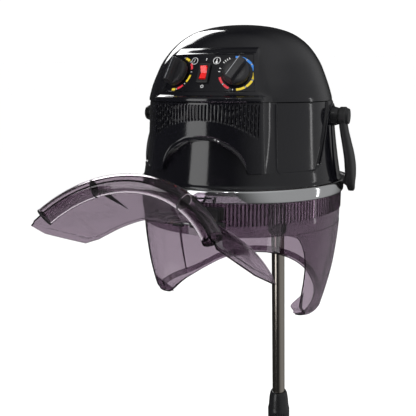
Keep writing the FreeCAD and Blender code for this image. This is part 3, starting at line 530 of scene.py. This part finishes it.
def build_lower_shell():
    """Body below the seam, with a recessed cheek and a deep slot in front of each pivot pillar."""
    z = fine(np.linspace(10, SEAM_Z - 0.5, 76), [31, 33, 119, 122], 1.5)
    left = 40.2                              # angle of the recess's front edge
    bottom, corner = 31.0, 8.0
    knots = np.array([0, 38.6, left, 72, 75, 86, 97, 180.0])
    u = np.linspace(0, 180, 300)
    u = fine(u, [left, 41.2, 72, 72.8, 75, 86, 97], 0.5)
    lean = 66.2 + (z - 30) * 0.163
    columns = []
    for right in lean:
        at = [0, 38.6, left, right, right + 2.5, max(right + 4.6, 86.5), 97.5, 180.0]
        columns.append(np.interp(u, knots, at))
    half = np.array(columns).T
    T = np.concatenate([half, -half[-2:0:-1]])
    Z = np.broadcast_to(z, T.shape)
    A = np.abs(T)
    R = np.broadcast_to(lean, T.shape)
    arc = 145 * math.pi / 180
    dx = np.maximum(np.maximum(left - A, A - R) * arc + corner, 0)
    dz = np.maximum(bottom + corner - Z, 0)
    dist = np.hypot(dx, dz) - corner
    recess = (1 - step(dist, -1.6, 0.2)) * (A > 30) * (A < 90)
    rim = 0.7 * np.exp(-((dist - 0.9) / 1.1) ** 2) * (A > 30) * (A < 86)
    along = (A - R - 1.25) * arc
    slot = np.exp(-(along / 2.3) ** 4) * step(Z, 35, 41) * (1 - step(Z, 116.5, 121))
    pillar = step(A, 85.0, 87.0) * (1 - step(A, 96.4, 98.2)) * step(Z, 12, 18)
    base = radius_at(LOWER, Z) + bulge(T, Z)
    foot = 1.2 * (1 - step(Z, 11, 15))
    top = -0.9 * step(Z, SEAM_Z - 2.2, SEAM_Z - 0.5)
    outer = polar(T, base + 0.9 * rim - 2.4 * recess - 5.5 * slot + 1.2 * pillar + foot + top, Z)
    inner = polar(T, base - 3.4 - 2.4 * recess - 5.5 * slot, Z)
    add(shell("lower_shell_visual", outer, inner, HOOD, GLOSS, wrap=True, sharp=30), "hood", "black_shell",
        "lower_shell")
    for s, tag in ((1, "right"), (-1, "left")):
        spin = HOOD @ Matrix.Translation((s * 137.0, 0, PIVOT_Z)) @ Matrix.Rotation(s * math.pi / 2, 4, "Y")
        boss = [(0, 0), (14.5, 0), (14.2, 9.0), (13.2, 12.4), (12.2, 15.8), (0, 15.8)] if s > 0 else [
            (0, 0), (14.5, 0), (14.2, 7.0), (13.0, 11.2), (0, 11.2)]
        add(lathe("pivot_boss_" + tag, boss, spin, SEMI, 72), "hood", "black_shell")
        roof_path = [(s * 139.5, 15.5 * math.cos(a), PIVOT_Z + 3 + 14.5 * math.sin(a))
                     for a in np.radians(np.linspace(-28, 208, 30))]
        centre = np.array([s * 139.5, 0, PIVOT_Z])
        far = 11.0 if s > 0 else 6.0
        section = [(dn, s * db) for dn, db in ((-1.6, -4), (1.6, -4), (1.6, far), (0.9, far + 2.4), (-0.6, far + 3.2),
                                               (-1.6, far + 2))]
        add(sweep("pivot_roof_" + tag, roof_path, [np.array(p) - centre for p in roof_path], section, HOOD, GLOSS,
                  sharp=50), "hood", "black_shell")


def build_ring():
    h = RING_H / 2
    profile = [(156.2, -h), (158.4, -h), (159.2, -h + 0.5), (159.8, -h + 1.6), (RING_R, -h + 3.2), (RING_R, h - 3.4),
               (159.7, h - 1.8), (159.0, h - 0.6), (158.2, h), (156.2, h)]
    add(lathe("ring_polished", profile, HOOD, CHROME, 256, sharp=50), "hood", "chrome", "chrome_ring")


# ---- skirt ----
FRONT_EDGE = [(46.0, -57.0), (51.6, -62.5), (56.0, -77), (59.2, -103), (60.2, -133), (60.8, -160), (62.5, -178),
              (68.0, -188.0)]
BOTTOM = [(68.0, -188.0), (76, -192), (90, -193.0), (104, -190.5), (117, -184.5), (130, -175.5), (142, -166),
          (154, -158.5), (166, -154), (180, -152)]
BOTTOM_LEFT = [(68.0, -180.0), (76, -183), (90, -184.0), (104, -184), (117, -182.5)] + BOTTOM[5:]
FRONT_LEFT = FRONT_EDGE[:-2] + [(62.5, -171), (68.0, -180.0)]


def skirt_patch(side, nu=90, nv=60):
    """Transfinite patch in (angle, height) between band, front edge, bottom edge and back centre."""
    top = np.stack([np.linspace(46, 180, nu), np.full(nu, -57.0)], 1)
    bottom = spline(BOTTOM if side > 0 else BOTTOM_LEFT, nu)
    front = spline(FRONT_EDGE if side > 0 else FRONT_LEFT, nv)
    back = np.stack([np.full(nv, 180.0), np.linspace(-57, -152, nv)], 1)
    u = np.linspace(0, 1, nu)[:, None, None]
    v = np.linspace(0, 1, nv)[None, :, None]
    p = ((1 - v) * top[:, None] + v * bottom[:, None] + (1 - u) * front[None] + u * back[None]
         - ((1 - u) * (1 - v) * top[0] + u * (1 - v) * top[-1] + (1 - u) * v * bottom[0] + u * v * bottom[-1]))
    return side * p[..., 0], p[..., 1]


def skirt_half(side):
    theta, z = skirt_patch(side)
    r = radius_at(SKIRT, z)
    outer, inner = polar(theta, r, z), polar(theta, r - SKIRT_WALL, z)
    # the foot of the wall curls inwards, most at the side lobes
    tb, zb = theta[:, -1], z[:, -1]
    rb = radius_at(SKIRT, zb)
    reach = 7.0 + 11.0 * (1 - step(np.abs(tb), 82, 128))
    drop = 3.0 + 5.5 * (1 - step(np.abs(tb), 82, 128))
    curl_o, curl_i = [], []
    for k in range(1, 8):
        a = math.radians(90 * k / 7)
        curl_o.append(polar(tb, rb - reach * (1 - math.cos(a)), zb - drop * math.sin(a)))
        curl_i.append(polar(tb, rb - SKIRT_WALL - (reach - SKIRT_WALL + 2.2) * (1 - math.cos(a)),
                            zb - (drop - 2.2) * math.sin(a)))
    return np.concatenate([outer, np.stack(curl_o, 1)], 1), np.concatenate([inner, np.stack(curl_i, 1)], 1)


def strip(name, theta, z0, z1, r_in, thick, mat):
    """Extra moulded layer on the inside of the skirt between two height curves."""
    v = np.linspace(0, 1, 8)[None, :]
    Z = z0[:, None] * (1 - v) + z1[:, None] * v
    T = np.broadcast_to(theta[:, None], Z.shape)
    r = radius_at(SKIRT, Z) - SKIRT_WALL - r_in
    add(shell(name, polar(T, r, Z), polar(T, r - thick, Z), HOOD, mat, sharp=60), "hood", "smoke_plastic")


def build_skirt():
    ribs = 180
    theta = np.linspace(-180, 180, 360, endpoint=False)
    z = np.array([7.0, 0, -8, -9.5, -10.5, -20, -36, -38.5, -41, -46, -57])
    T, Z = np.meshgrid(theta, z, indexing="ij")
    r = radius_at(SKIRT, Z) - 0.9 * step(-Z, 8.5, 10.5) * (1 - step(-Z, 38.5, 41))
    band = shell("skirt_band", polar(T, r - 0.6, Z), polar(T, r - SKIRT_WALL, Z), HOOD, SMOKE, wrap=True, sharp=60)
    add(band, "hood", "smoke_plastic", "skirt")
    verts, faces = [], []
    for k in range(ribs):
        t0 = 360.0 * (k + 0.5) / ribs - 180
        low = 40.5 - 5.0 * float(step(abs(t0), 20, 80))
        for zz in (-9.5, -low):
            for d, out in ((-0.5, -1.3), (-0.34, 0.7), (0.34, 0.7), (0.5, -1.3)):
                verts.append(polar(t0 + d, radius_at(SKIRT, zz) + out, zz))
        n = 8 * k
        faces += [(n, n + 1, n + 2, n + 3), (n + 4, n + 7, n + 6, n + 5)]
        faces += [(n + i, n + 4 + i, n + 4 + (i + 1) % 4, n + (i + 1) % 4) for i in range(4)]
    add(make("skirt_ribs", verts, faces, HOOD, SMOKE_EDGE), "hood", "smoke_plastic")
    for side, tag in ((1, "right"), (-1, "left")):
        o, i = skirt_half(side)
        add(shell("skirt_lobe_" + tag, o, i, HOOD, SMOKE, sharp=50), "hood", "smoke_plastic")
        edge = spline(BOTTOM if side > 0 else BOTTOM_LEFT, 80)
        front = np.array(FRONT_EDGE if side > 0 else FRONT_LEFT)
        foot_z = np.linspace(-152, front[-1, 1] - 4.0, 22)
        foot_t = side * (np.interp(-foot_z, -front[:, 1], front[:, 0]) + 0.4)
        v = np.linspace(0, 1, 9)[None, :]
        reach = (21.0 * step(-foot_z, 150, 176))[:, None] * v
        R = radius_at(SKIRT, foot_z)[:, None]
        drop = foot_z[:, None] - 4.0 * v ** 2 * step(-foot_z, 152, 172)[:, None]
        T = np.broadcast_to(foot_t[:, None], reach.shape)
        foot = [polar(T + side * turn, R - 1.0 - reach, drop) for turn in (0.0, 1.0)]
        add(shell("skirt_foot_" + tag, *foot, HOOD, SMOKE, sharp=50), "hood", "smoke_plastic")
        keep = edge[:, 0] > 74
        strip("skirt_hem_" + tag, side * edge[keep, 0], edge[keep, 1] + 8.5, edge[keep, 1] - 0.4, 0.2, 1.2, SMOKE)
        rib_top, rib_low = 6.0, 1.2
        rib_z = np.linspace(-58, -176, 24)
        T = np.stack([np.linspace(-1, 1, 5) * (rib_top + (rib_low - rib_top) * k) / 2
                      for k in np.linspace(0, 1, 24)], 0)
        R = radius_at(SKIRT, rib_z)[:, None]
        ang = side * 111.0 + np.degrees(T / R)
        zz = np.broadcast_to(rib_z[:, None], ang.shape)
        add(shell("skirt_rib_" + tag, polar(ang, R - SKIRT_WALL - 0.2, zz), polar(ang, R - SKIRT_WALL - 2.6, zz), HOOD,
                  SMOKE_EDGE, sharp=60), "hood", "smoke_plastic")


# ---- visor ----
def visor_radius(z):
    slope = (VISOR_TOP_R - VISOR_LOW_R) / VISOR_LEN
    return VISOR_TOP_R - slope * (HINGE_Z - 10 - z)


# hinge-side outline of the sheet: angle, drop below the ring middle
VISOR_EDGE = [(-59.6, 228), (-59.2, 195), (-51.7, 110), (-46, 96), (-40.7, 92.5), (-21.3, 87.7), (-16, 62), (-12, 54),
              (12, 54), (18, 59), (40, 60), (54, 56), (57.2, 60), (60.6, 128), (61.0, 228)]


def build_visor():
    """Curved sheet with cut corners at the hinge side and a raised border."""
    low = HINGE_Z - VISOR_LEN
    edge = np.array(VISOR_EDGE, float)
    theta = fine(np.linspace(edge[0, 0], edge[-1, 0], 170), [-59.3, -52, 57.2, 60.6], 0.8)
    top = -np.interp(theta, edge[:, 0], edge[:, 1])
    low = low + 4.2 * step(np.abs(theta), 55, 59)[:, None]
    Z = low + (np.maximum(top[:, None], low + 2.0) - low) * np.linspace(0, 1, 90)[None]
    T = np.broadcast_to(theta[:, None], Z.shape)
    scale = 147 * math.pi / 180
    outline = edge * np.array([scale, -1.0])
    P = np.stack([T * scale, Z], -1)
    gap = np.full(T.shape, 1e3)
    for a, b in zip(outline[:-1], outline[1:]):
        t = np.clip(((P - a) @ (b - a)) / np.dot(b - a, b - a), 0, 1)
        gap = np.minimum(gap, np.linalg.norm(P - a - t[..., None] * (b - a), axis=-1))
    border = 1.6 * (1 - step(gap, 8.6, 9.6))
    r = visor_radius(Z)
    outer = polar(T, r - 1.6 + border, Z)
    inner = polar(T, r - VISOR_WALL - 1.4 + border, Z)
    add(shell("visor_sheet_visual", outer, inner, VISOR, SMOKE, sharp=50), "visor", "smoke_plastic", "visor_sheet")


def build_roll():
    """Hollow grip along the visor's free edge, in three lengths with dark joints and end caps."""
    big, wall = 11.3, 1.9
    r0, z0 = VISOR_LOW_R - 0.8, HINGE_Z - VISOR_LEN + 7.4

    def tube(t, radius, g):
        return polar(t, r0 + radius * np.cos(g), z0 - radius * np.sin(g) * 0.95)
    ang = np.radians(np.linspace(0, 360, 40, endpoint=False))
    for k, (a, b) in enumerate([(-51.5, -22.8), (-22.2, 29.8), (30.4, 54.6)]):
        theta = np.linspace(a, b, max(int((b - a) * 1.5), 12))
        outer = np.array([[tube(t, big, g) for t in theta] for g in ang])
        inner = np.array([[tube(t, big - wall, g) for t in theta] for g in ang])
        obj = shell("visor_grip_%d" % (k + 1), outer, inner, VISOR, SMOKE_THIN, wrap=True, sharp=50)
        add(obj, "visor", "smoke_plastic", *(["visor_roll"] if k == 1 else []))
    discs = [("grip_joint_1", -22.5, 0.3, 11.4, SATIN), ("grip_joint_2", 30.1, 0.3, 11.4, SATIN),
             ("grip_cap_1", -52.1, 0.55, 11.6, SEMI), ("grip_cap_2", 55.2, 0.55, 11.35, SMOKE_EDGE)]
    for name, t, half, radius, mat in discs:
        path = [polar(t + d * half, r0, z0) for d in (-1, -0.7, 0.7, 1)]
        norm = [polar(t + d * half, 1.0, 0.0) for d in (-1, -0.7, 0.7, 1)]
        ring = [(radius * math.cos(g), radius * math.sin(g) * 0.95) for g in ang]
        obj = sweep(name, path, norm, ring, VISOR, mat, scale=[(0.93, 0.93), (1, 1), (1, 1), (0.93, 0.93)])
        add(obj, "visor", "black_matte" if mat is not SMOKE_EDGE else "smoke_plastic",
            *(["roll_caps"] if name == "grip_cap_1" else []))
    # pointed gussets under the grip joints
    for k, t in enumerate((-20.5, 27.5)):
        z = np.linspace(HINGE_Z - VISOR_LEN + 14, HINGE_Z - VISOR_LEN + 86, 12)
        w = 3.4 * (1 - np.linspace(0, 1, 12)) + 0.25
        h = 5.5 * (1 - np.linspace(0, 1, 12)) + 0.4
        verts, faces = [], []
        for zz, ww, hh in zip(z, w, h):
            r = visor_radius(zz) - VISOR_WALL - 1.5
            for dt, dr in ((-ww, 0.0), (ww, 0.0), (0.0, -hh)):
                verts.append(polar(t + math.degrees(dt / r), r + dr, zz))
        for i in range(11):
            for j in range(3):
                l = (j + 1) % 3
                faces.append((i * 3 + j, i * 3 + l, i * 3 + 3 + l, i * 3 + 3 + j))
        faces += [(0, 1, 2), (33, 34, 35)]
        add(make("visor_gusset_%d" % (k + 1), verts, faces, VISOR, SATIN), "visor", "black_matte")


def build_hinge():
    """Two black bars across the sheet at the hinge, and the links that join them."""
    for k, (z, a, b, dr, half) in enumerate(((-92.0, -19.0, 3.0, 5.2, 3.2), (-74.0, -15.0, 9.0, 5.4, 2.8))):
        theta = np.linspace(a, b, 26)
        path = [polar(t, visor_radius(z) - 2.2 + dr, z + 3.0 * math.sin(math.pi * (t - a) / (b - a))) for t in theta]
        norm = [polar(t, 1.0, 0.0) for t in theta]
        piece = sweep("hinge_bar_%d" % (k + 1), path, norm, rounded(2.6, half, 3.2, 20), VISOR, SEMI)
        add(piece, "visor", "black_matte", *(["hinge_bar"] if k == 0 else []))
    for k, t in enumerate((-13.0, -2.5, 5.5)):
        path = [polar(t, visor_radius(-72) + 3.0, z) for z in np.linspace(-96, -52, 9)]
        norm = [polar(t, 1.0, 0.0)] * 9
        piece = sweep("hinge_link_%d" % (k + 1), path, norm, rounded(2.2, 3.4, 3.0, 16), VISOR, SEMI)
        add(piece, "visor", "black_matte")


# ---- controls ----
def bar(name, x0, x1, y0, y1, z0, z1, matrix, mat, body, slot, bevel=0.0, taper=0.0):
    """Box between two corners, narrower at its top by taper."""
    v = []
    for z, k in ((z0, 0.0), (z1, taper)):
        for x, y in ((x0 + k, y0 + k), (x1 - k, y0 + k), (x1 - k, y1 - k), (x0 + k, y1 - k)):
            v.append((x, y, z))
    f = [(0, 3, 2, 1), (4, 5, 6, 7), (0, 1, 5, 4), (1, 2, 6, 5), (2, 3, 7, 6), (3, 0, 4, 7)]
    return add(make(name, v, f, matrix, mat, bevel=bevel), body, slot)


def build_knob(tag, theta, pointer, body, node):
    m = HOOD @ panel_frame(theta)
    r = 18.8

    def flute(t, rr, z):
        return rr - (0.5 * (0.5 + 0.5 * math.cos(math.radians(t * 40)))) if rr > r - 1.2 and z < 9.6 else rr
    profile = [(0, 2.2), (r - 1.5, 2.2), (r, 2.6), (r - 0.1, 6.0), (r - 0.5, 9.4), (r - 1.6, 11.0), (r - 3.4, 11.6),
               (r - 7.0, 11.8), (0, 11.8)]
    disc = lathe("knob_disc_" + tag, profile, m, KNOB, 240, sharp=40, ripple=flute)
    add(disc, body, "black_gloss_nylon", node)
    spin = m @ Matrix.Rotation(math.radians(pointer), 4, "Z")
    bar("knob_grip_" + tag, -6.2, 6.2, -18.0, 18.0, 11.4, 20.4, spin, KNOB, body, "black_gloss_nylon", bevel=0.8,
        taper=1.1)
    x = -1.2 if tag == "timer" else -4.6
    bar("knob_line_" + tag, x, x + 0.6, -15.5, 16.2, 20.36, 20.5, spin, GREY, body, "black_gloss_nylon")
    spindle = lathe("knob_spindle_" + tag, [(0, -16), (3, -16), (3, 2.4), (0, 2.4)], m, STEEL, 32)
    add(spindle, body, "steel")


def on_panel(theta, points, lift):
    """Moves marks drawn flat round a control onto the curved plate."""
    m = panel_frame(theta)
    p = np.array([m @ Vector((x, y, 1.5)) for x, y in points])
    return console_point(p[:, 0], p[:, 2], lift - PLATE_DEPTH)


def printed(name, theta, outline_a, outline_b, mat, slot, *nodes):
    """Thin printed strip between two lines of points on the plate."""
    rows = [np.array(outline_a), (np.array(outline_a) + np.array(outline_b)) / 2, np.array(outline_b)]
    grid = [np.stack([on_panel(theta, row, lift) for row in rows], 1) for lift in (0.16, -0.3)]
    return add(shell(name, grid[0], grid[1], HOOD, mat, sharp=30), "hood", slot, *nodes)


def arc_points(radius, a0, a1, x=0.0, y=0.0):
    a = np.radians(np.linspace(a0, a1, max(int(abs(a1 - a0) / 5), 3)))
    return np.stack([x + radius * np.sin(a), y + radius * np.cos(a)], 1)


def build_scale(tag, theta, segments, ticks, node):
    """Printed arc segments and fine ticks; angles run clockwise from straight up."""
    slot = "dial_yellow" if tag == "timer" else "dial_blue"
    for k, (a0, a1, mat) in enumerate(segments):
        printed("dial_%s_%d" % (tag, k + 1), theta, arc_points(22.2, a0, a1), arc_points(25.4, a0, a1), mat, slot,
                *([node] if k == 0 else []))
    for k, a in enumerate(ticks):
        printed("tick_%s_%d" % (tag, k + 1), theta, arc_points(22.9, a - 1.0, a + 1.0),
                arc_points(25.0, a - 1.0, a + 1.0), WHITE, slot)


def build_icons():
    """Clock and thermometer marks, the I and O of the switch, and strokes beside the temperature dial."""
    def mark(name, outline_a, outline_b):
        printed(name, SWITCH_ANGLE, outline_a, outline_b, WHITE, "dial_yellow")

    def ring(name, r0, r1, x, y):
        mark(name, arc_points(r0, 0, 360, x, y), arc_points(r1, 0, 360, x, y))
    y = 19.0
    for tag, x in (("clock", -19.5), ("thermometer", 14.5)):
        ring("icon_%s_ring" % tag, 4.6, 5.2, x, y)
        if tag == "clock":
            mark("icon_clock_hand", [(x - 0.3, y), (x - 0.3, y + 3)], [(x + 0.3, y), (x + 0.3, y + 3)])
            mark("icon_clock_hour", [(x, y), (x - 2.1, y - 1.6)], [(x + 0.4, y - 0.4), (x - 1.7, y - 2)])
        else:
            mark("icon_thermometer_stem", [(x - 0.5, y - 2), (x - 0.5, y + 3)], [(x + 0.5, y - 2), (x + 0.5, y + 3)])
            ring("icon_thermometer_bulb", 0.1, 1.5, x, y - 2.2)
    mark("mark_on", [(-1.4, 19.2), (-1.4, 23)], [(-0.6, 19.2), (-0.6, 23)])
    ring("mark_off", 1.5, 2.2, 0, -19)
    for k, a in enumerate((-24, -32, -40, -48, -72, -84)):
        printed("dial_mark_%d" % (k + 1), TEMPERATURE_ANGLE, arc_points(22.6, a - 1.2, a + 1.2),
                arc_points(25.4, a - 1.2, a + 1.2), WHITE, "dial_blue")


def build_rocker():
    m = HOOD @ panel_frame(SWITCH_ANGLE)
    outer = [(-8, -14), (8, -14), (8, 14), (-8, 14)]
    verts, faces = [], []
    rings = [(1.0, 1.2), (1.0, 4.2), (0.94, 4.6), (0.74, 4.6), (0.70, 4.0), (0.70, -6.0)]
    for k, z in rings:
        verts += [(x * k if k > 0.8 else math.copysign(5.2, x), y * k if k > 0.8 else math.copysign(10.2, y), z)
                  for x, y in outer]
    for i in range(len(rings) - 1):
        for j in range(4):
            l = (j + 1) % 4
            faces.append((i * 4 + j, i * 4 + l, i * 4 + 4 + l, i * 4 + 4 + j))
    n = len(rings) * 4
    faces.append((n - 4, n - 3, n - 2, n - 1))
    add(make("rocker_frame", verts, faces, m, SATIN, bevel=0.3), "hood", "black_matte", "rocker_bezel")
    side = [(-9.0, -1.0), (-9.0, 4.6), (-8.4, 5.2), (-4.0, 3.8), (0, 2.7), (4.0, 5.0), (8.3, 8.0), (9.0, 7.4),
            (9.0, -1.0), (0, -6.3)]
    v = [(x, y, z) for x in (-4.75, 4.75) for y, z in side]
    k = len(side)
    f = [list(range(k)), list(range(k, 2 * k))]
    f += [(i, (i + 1) % k, k + (i + 1) % k, k + i) for i in range(k)]
    # the red rocker uses the red material with its painted glow
    add(make("rocker_red", v, f, m, RED, bevel=0.5), "rocker", "red_switch", "rocker_button")


# ---- yoke and mast ----
def build_yoke():
    section = rounded(5.2, 11.2, 3.6)
    arm = [(159.4, 0, 106), (159.6, 0, 94), (161.6, 0, 82), (165.6, 0, 64), (169.8, 0, 44), (171.6, 0.5, 28),
           (171.6, 3, 16), (170.8, 11, 4), (168.6, 25, -4.5), (164.5, 45, -9)]
    ring = [polar(t, 172.0 - 1.0 * step(abs(t - 180), 60, 75), -9.0 - 4.0 * step(t, 106, 150))
            for t in np.linspace(106, 180, 22)[1:]]
    half = [tuple(p) for p in spline(arm, 60)]
    right = np.array(half + [tuple(p) for p in ring])
    left = right[::-1] * np.array([-1, 1, 1])
    left[:, 0] += 4.5 * step(left[:, 2], 2, 26) + 2.0 * step(left[:, 2], 60, 95)
    path = np.concatenate([right, left[1:]])
    normals = np.stack([path[:, 0], path[:, 1], 0 * path[:, 0]], 1)
    wide = step(-path[:, 2], -95, -25) * (1 - step(-path[:, 2], -14, 6))
    drop = step(-path[:, 2], -20, 6)
    wide = wide * np.where(path[:, 0] > 0, 1.0, 0.25)
    thin = np.where(path[:, 0] > 0, 0.0, 0.35) * step(path[:, 2], 50, 90)
    scale = [(1.0 + 0.36 * k + 0.1 * d - c, 1.0 + 0.26 * k - 0.22 * d) for k, d, c in zip(wide, drop, thin)]
    add(sweep("yoke_arm_visual", path, normals, section, YOKE, SATIN, scale=scale), "yoke", "black_gloss_nylon",
        "yoke_arm")
    for s, tag in ((1, "right"), (-1, "left")):
        inset = 0.0 if s > 0 else 5.0
        flip = YOKE @ Matrix.Translation((s * (154.6 - inset), 0, PIVOT_Z)) @ Matrix.Rotation(s * math.pi / 2, 4, "Y")
        tall = 9.4 if s > 0 else 6.6
        boss = [(0, 0), (13.2, 0), (13.8, 0.6), (13.8, tall - 1.0), (12.9, tall), (0, tall)]
        add(lathe("yoke_boss_" + tag, boss, flip, SATIN, 64), "yoke", "black_gloss_nylon")
    d = 181.0
    hub = [(0, -2), (10, -2), (13.4, -5), (20.5, -6.5), (21.5, -8), (21.5, -20), (20.5, -22), (16, -24),
           (16, -126), (16.2, -127), (18, -129.5), (18, -141.5), (17, -143), (12.8, -143), (12.8, -33), (0, -33)]
    add(lathe("socket_visual", hub, YOKE, SEMI, 96, centre=(0, d)), "yoke", "black_gloss_nylon", "yoke_socket")


def build_collar():
    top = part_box("height_collar")[1][2] / MM

    def grip(t, r, z):
        on = 1.0 if top - 79 < z < top - 41 and r > 18 else 0.0
        return r - on * 0.9 * max(0.0, math.cos(math.radians(t * 24))) ** 2
    zs = np.linspace(top - 78, top - 42, 10)[::-1]
    profile = [(13.2, top), (14.4, top - 0.2), (15.6, top - 1.4), (17.2, top - 5), (19.0, top - 16),
               (20.4, top - 33), (21.4, top - 39), (22.0, top - 41)]
    profile += [(22.0, z) for z in zs]
    profile += [(21.8, top - 79.5), (20.4, top - 84), (17.8, top - 91), (17.0, top - 92), (16.15, top - 92),
                (16.15, top - 36), (17.4, top - 36), (15.2, top - 11.6), (13.2, top - 11.6)]
    add(lathe("collar_grip", profile, WORLD, SEMI, 288, ripple=grip, sharp=40), "height_lock", "black_gloss_nylon",
        "height_collar")


# ---- stage ----
def area(name, loc, target, size, power):
    light = bpy.data.lights.new(name, "AREA")
    light.shape = "RECTANGLE"
    light.size, light.size_y = size
    light.energy = power
    obj = bpy.data.objects.new(name, light)
    obj.location = loc
    obj.rotation_euler = (Vector(target) - Vector(loc)).to_track_quat("-Z", "Y").to_euler()
    bpy.context.scene.collection.objects.link(obj)


def build_stage():
    half = 40.0                              # metres, so that the floor runs out of sight
    v = [(-half, -half, 0), (half, -half, 0), (half, half, 0), (-half, half, 0)]
    mesh = bpy.data.meshes.new("floor")
    mesh.from_pydata(v, [], [(0, 1, 2, 3)])
    floor = bpy.data.objects.new("floor", mesh)
    bpy.context.scene.collection.objects.link(floor)
    mesh.materials.append(material("pale_floor", (0.93, 0.93, 0.93), 0.9, rough_var=0.05, color_var=0.01, specular=0.0))
    floor.visible_glossy = False
    build_world()
    for name, loc, size, power in LIGHTS:
        area(name, hood_centre() + Vector(loc), hood_centre(), size, power)
    bpy.context.scene.view_settings.view_transform = "Standard"


def hood_centre():
    return PIVOT - Vector((0, 0, 0.02))


# name, place from the middle of the hood, size, power
LIGHTS = [("window_back_left", (-1.75, 1.8, 1.4), (1.25, 1.3), 28),
          ("strip_front", (-1.05, -2.0, -0.1), (0.86, 2.6), 17),
          ("strip_right", (2.2, 0.75, -0.1), (0.12, 1.2), 1.3),
          ("small_top_left", (0.05, -1.9, 2.2), (0.2, 0.2), 2.4),
          ("small_top_right", (0.5, -1.8, 2.2), (0.15, 0.15), 1.4)]


def build_world():
    """White surroundings, which gloss sees as a dim studio, softly lit from the right and from above."""
    world = bpy.data.worlds.new("studio")
    world.use_nodes = True
    nodes, links = world.node_tree.nodes, world.node_tree.links
    back = nodes["Background"]
    back.inputs["Color"].default_value = (1, 1, 1, 1)
    back.inputs["Strength"].default_value = 1.08
    dim = nodes.new("ShaderNodeBackground")
    coord = nodes.new("ShaderNodeTexCoord")
    total = nodes.new("ShaderNodeMath")
    # direction of the glow, cosine where it starts and where it is full, its strength away from it and in it
    glows = [((0.97, 0.12, 0.2), 0.05, 0.75, 0.035, 0.50), ((0.1, -0.3, 0.95), 0.55, 1.0, 0.0, 0.30)]
    for slot, (toward, start, full, low, high) in enumerate(glows):
        facing = nodes.new("ShaderNodeVectorMath")
        facing.operation = "DOT_PRODUCT"
        facing.inputs[1].default_value = Vector(toward).normalized()
        links.new(coord.outputs["Generated"], facing.inputs[0])
        ramp = nodes.new("ShaderNodeMapRange")
        ramp.interpolation_type = "SMOOTHSTEP"
        for key, value in (("From Min", start), ("From Max", full), ("To Min", low), ("To Max", high)):
            ramp.inputs[key].default_value = value
        links.new(facing.outputs["Value"], ramp.inputs["Value"])
        links.new(ramp.outputs["Result"], total.inputs[slot])
    links.new(total.outputs["Value"], dim.inputs["Strength"])
    path = nodes.new("ShaderNodeLightPath")
    mix = nodes.new("ShaderNodeMixShader")
    links.new(path.outputs["Is Glossy Ray"], mix.inputs["Fac"])
    links.new(back.outputs["Background"], mix.inputs[1])
    links.new(dim.outputs["Background"], mix.inputs[2])
    links.new(mix.outputs["Shader"], nodes["World Output"].inputs["Surface"])
    bpy.context.scene.world = world


def build_camera():
    az, dist, height = math.radians(21.14), 0.9945, 0.2219
    yaw, pitch, roll = math.radians(3.34), math.radians(15.12), math.radians(-1.93)
    ring = PIVOT - Vector((0, 0, PIVOT_Z * MM))
    loc = ring + Vector((math.sin(az) * dist, -math.cos(az) * dist, height))
    a = az + yaw
    fwd = Vector((-math.sin(a) * math.cos(pitch), math.cos(a) * math.cos(pitch), -math.sin(pitch)))
    right = Vector((math.cos(a), math.sin(a), 0))
    up = right.cross(fwd)
    r2 = math.cos(roll) * right + math.sin(roll) * up
    u2 = -math.sin(roll) * right + math.cos(roll) * up
    cam = bpy.data.cameras.new("camera")
    cam.lens = 36.0 * 630.7 / 416.0
    cam.sensor_width = 36.0
    cam.clip_start = 0.05
    obj = bpy.data.objects.new("camera", cam)
    m = Matrix((r2, u2, -fwd)).transposed().to_4x4()
    m.translation = loc
    obj.matrix_world = m
    bpy.context.scene.collection.objects.link(obj)
    bpy.context.scene.camera = obj


dress_cad_nodes()
build_dome()
build_panel()
build_lower_shell()
build_fascia()
build_ring()
build_skirt()
build_visor()
build_roll()
build_hinge()
build_knob("timer", TIMER_ANGLE, -4.0, "timer", "timer_knob")
build_knob("temperature", TEMPERATURE_ANGLE, -33.0, "temperature", "temperature_knob")
build_scale("timer", TIMER_ANGLE,
            [(13, 35, YELLOW), (50, 74, PRINT_RED), (95, 121, YELLOW), (137, 161, PRINT_RED), (170, 186, YELLOW)],
            [8, 42, 84, 129, 165], "timer_scale")
build_scale("temperature", TEMPERATURE_ANGLE,
            [(-4, 12, BLUE), (16, 33, BLUE), (37, 55, BLUE), (59, 82, BLUE), (88, 112, YELLOW), (118, 144, YELLOW),
             (150, 178, YELLOW), (204, 226, PRINT_RED), (232, 256, PRINT_RED)],
            [14, 35, 57, 85, 115, 147, 190, 229], "temperature_scale")
build_icons()
build_rocker()
build_yoke()
build_collar()
build_stage()
build_camera()
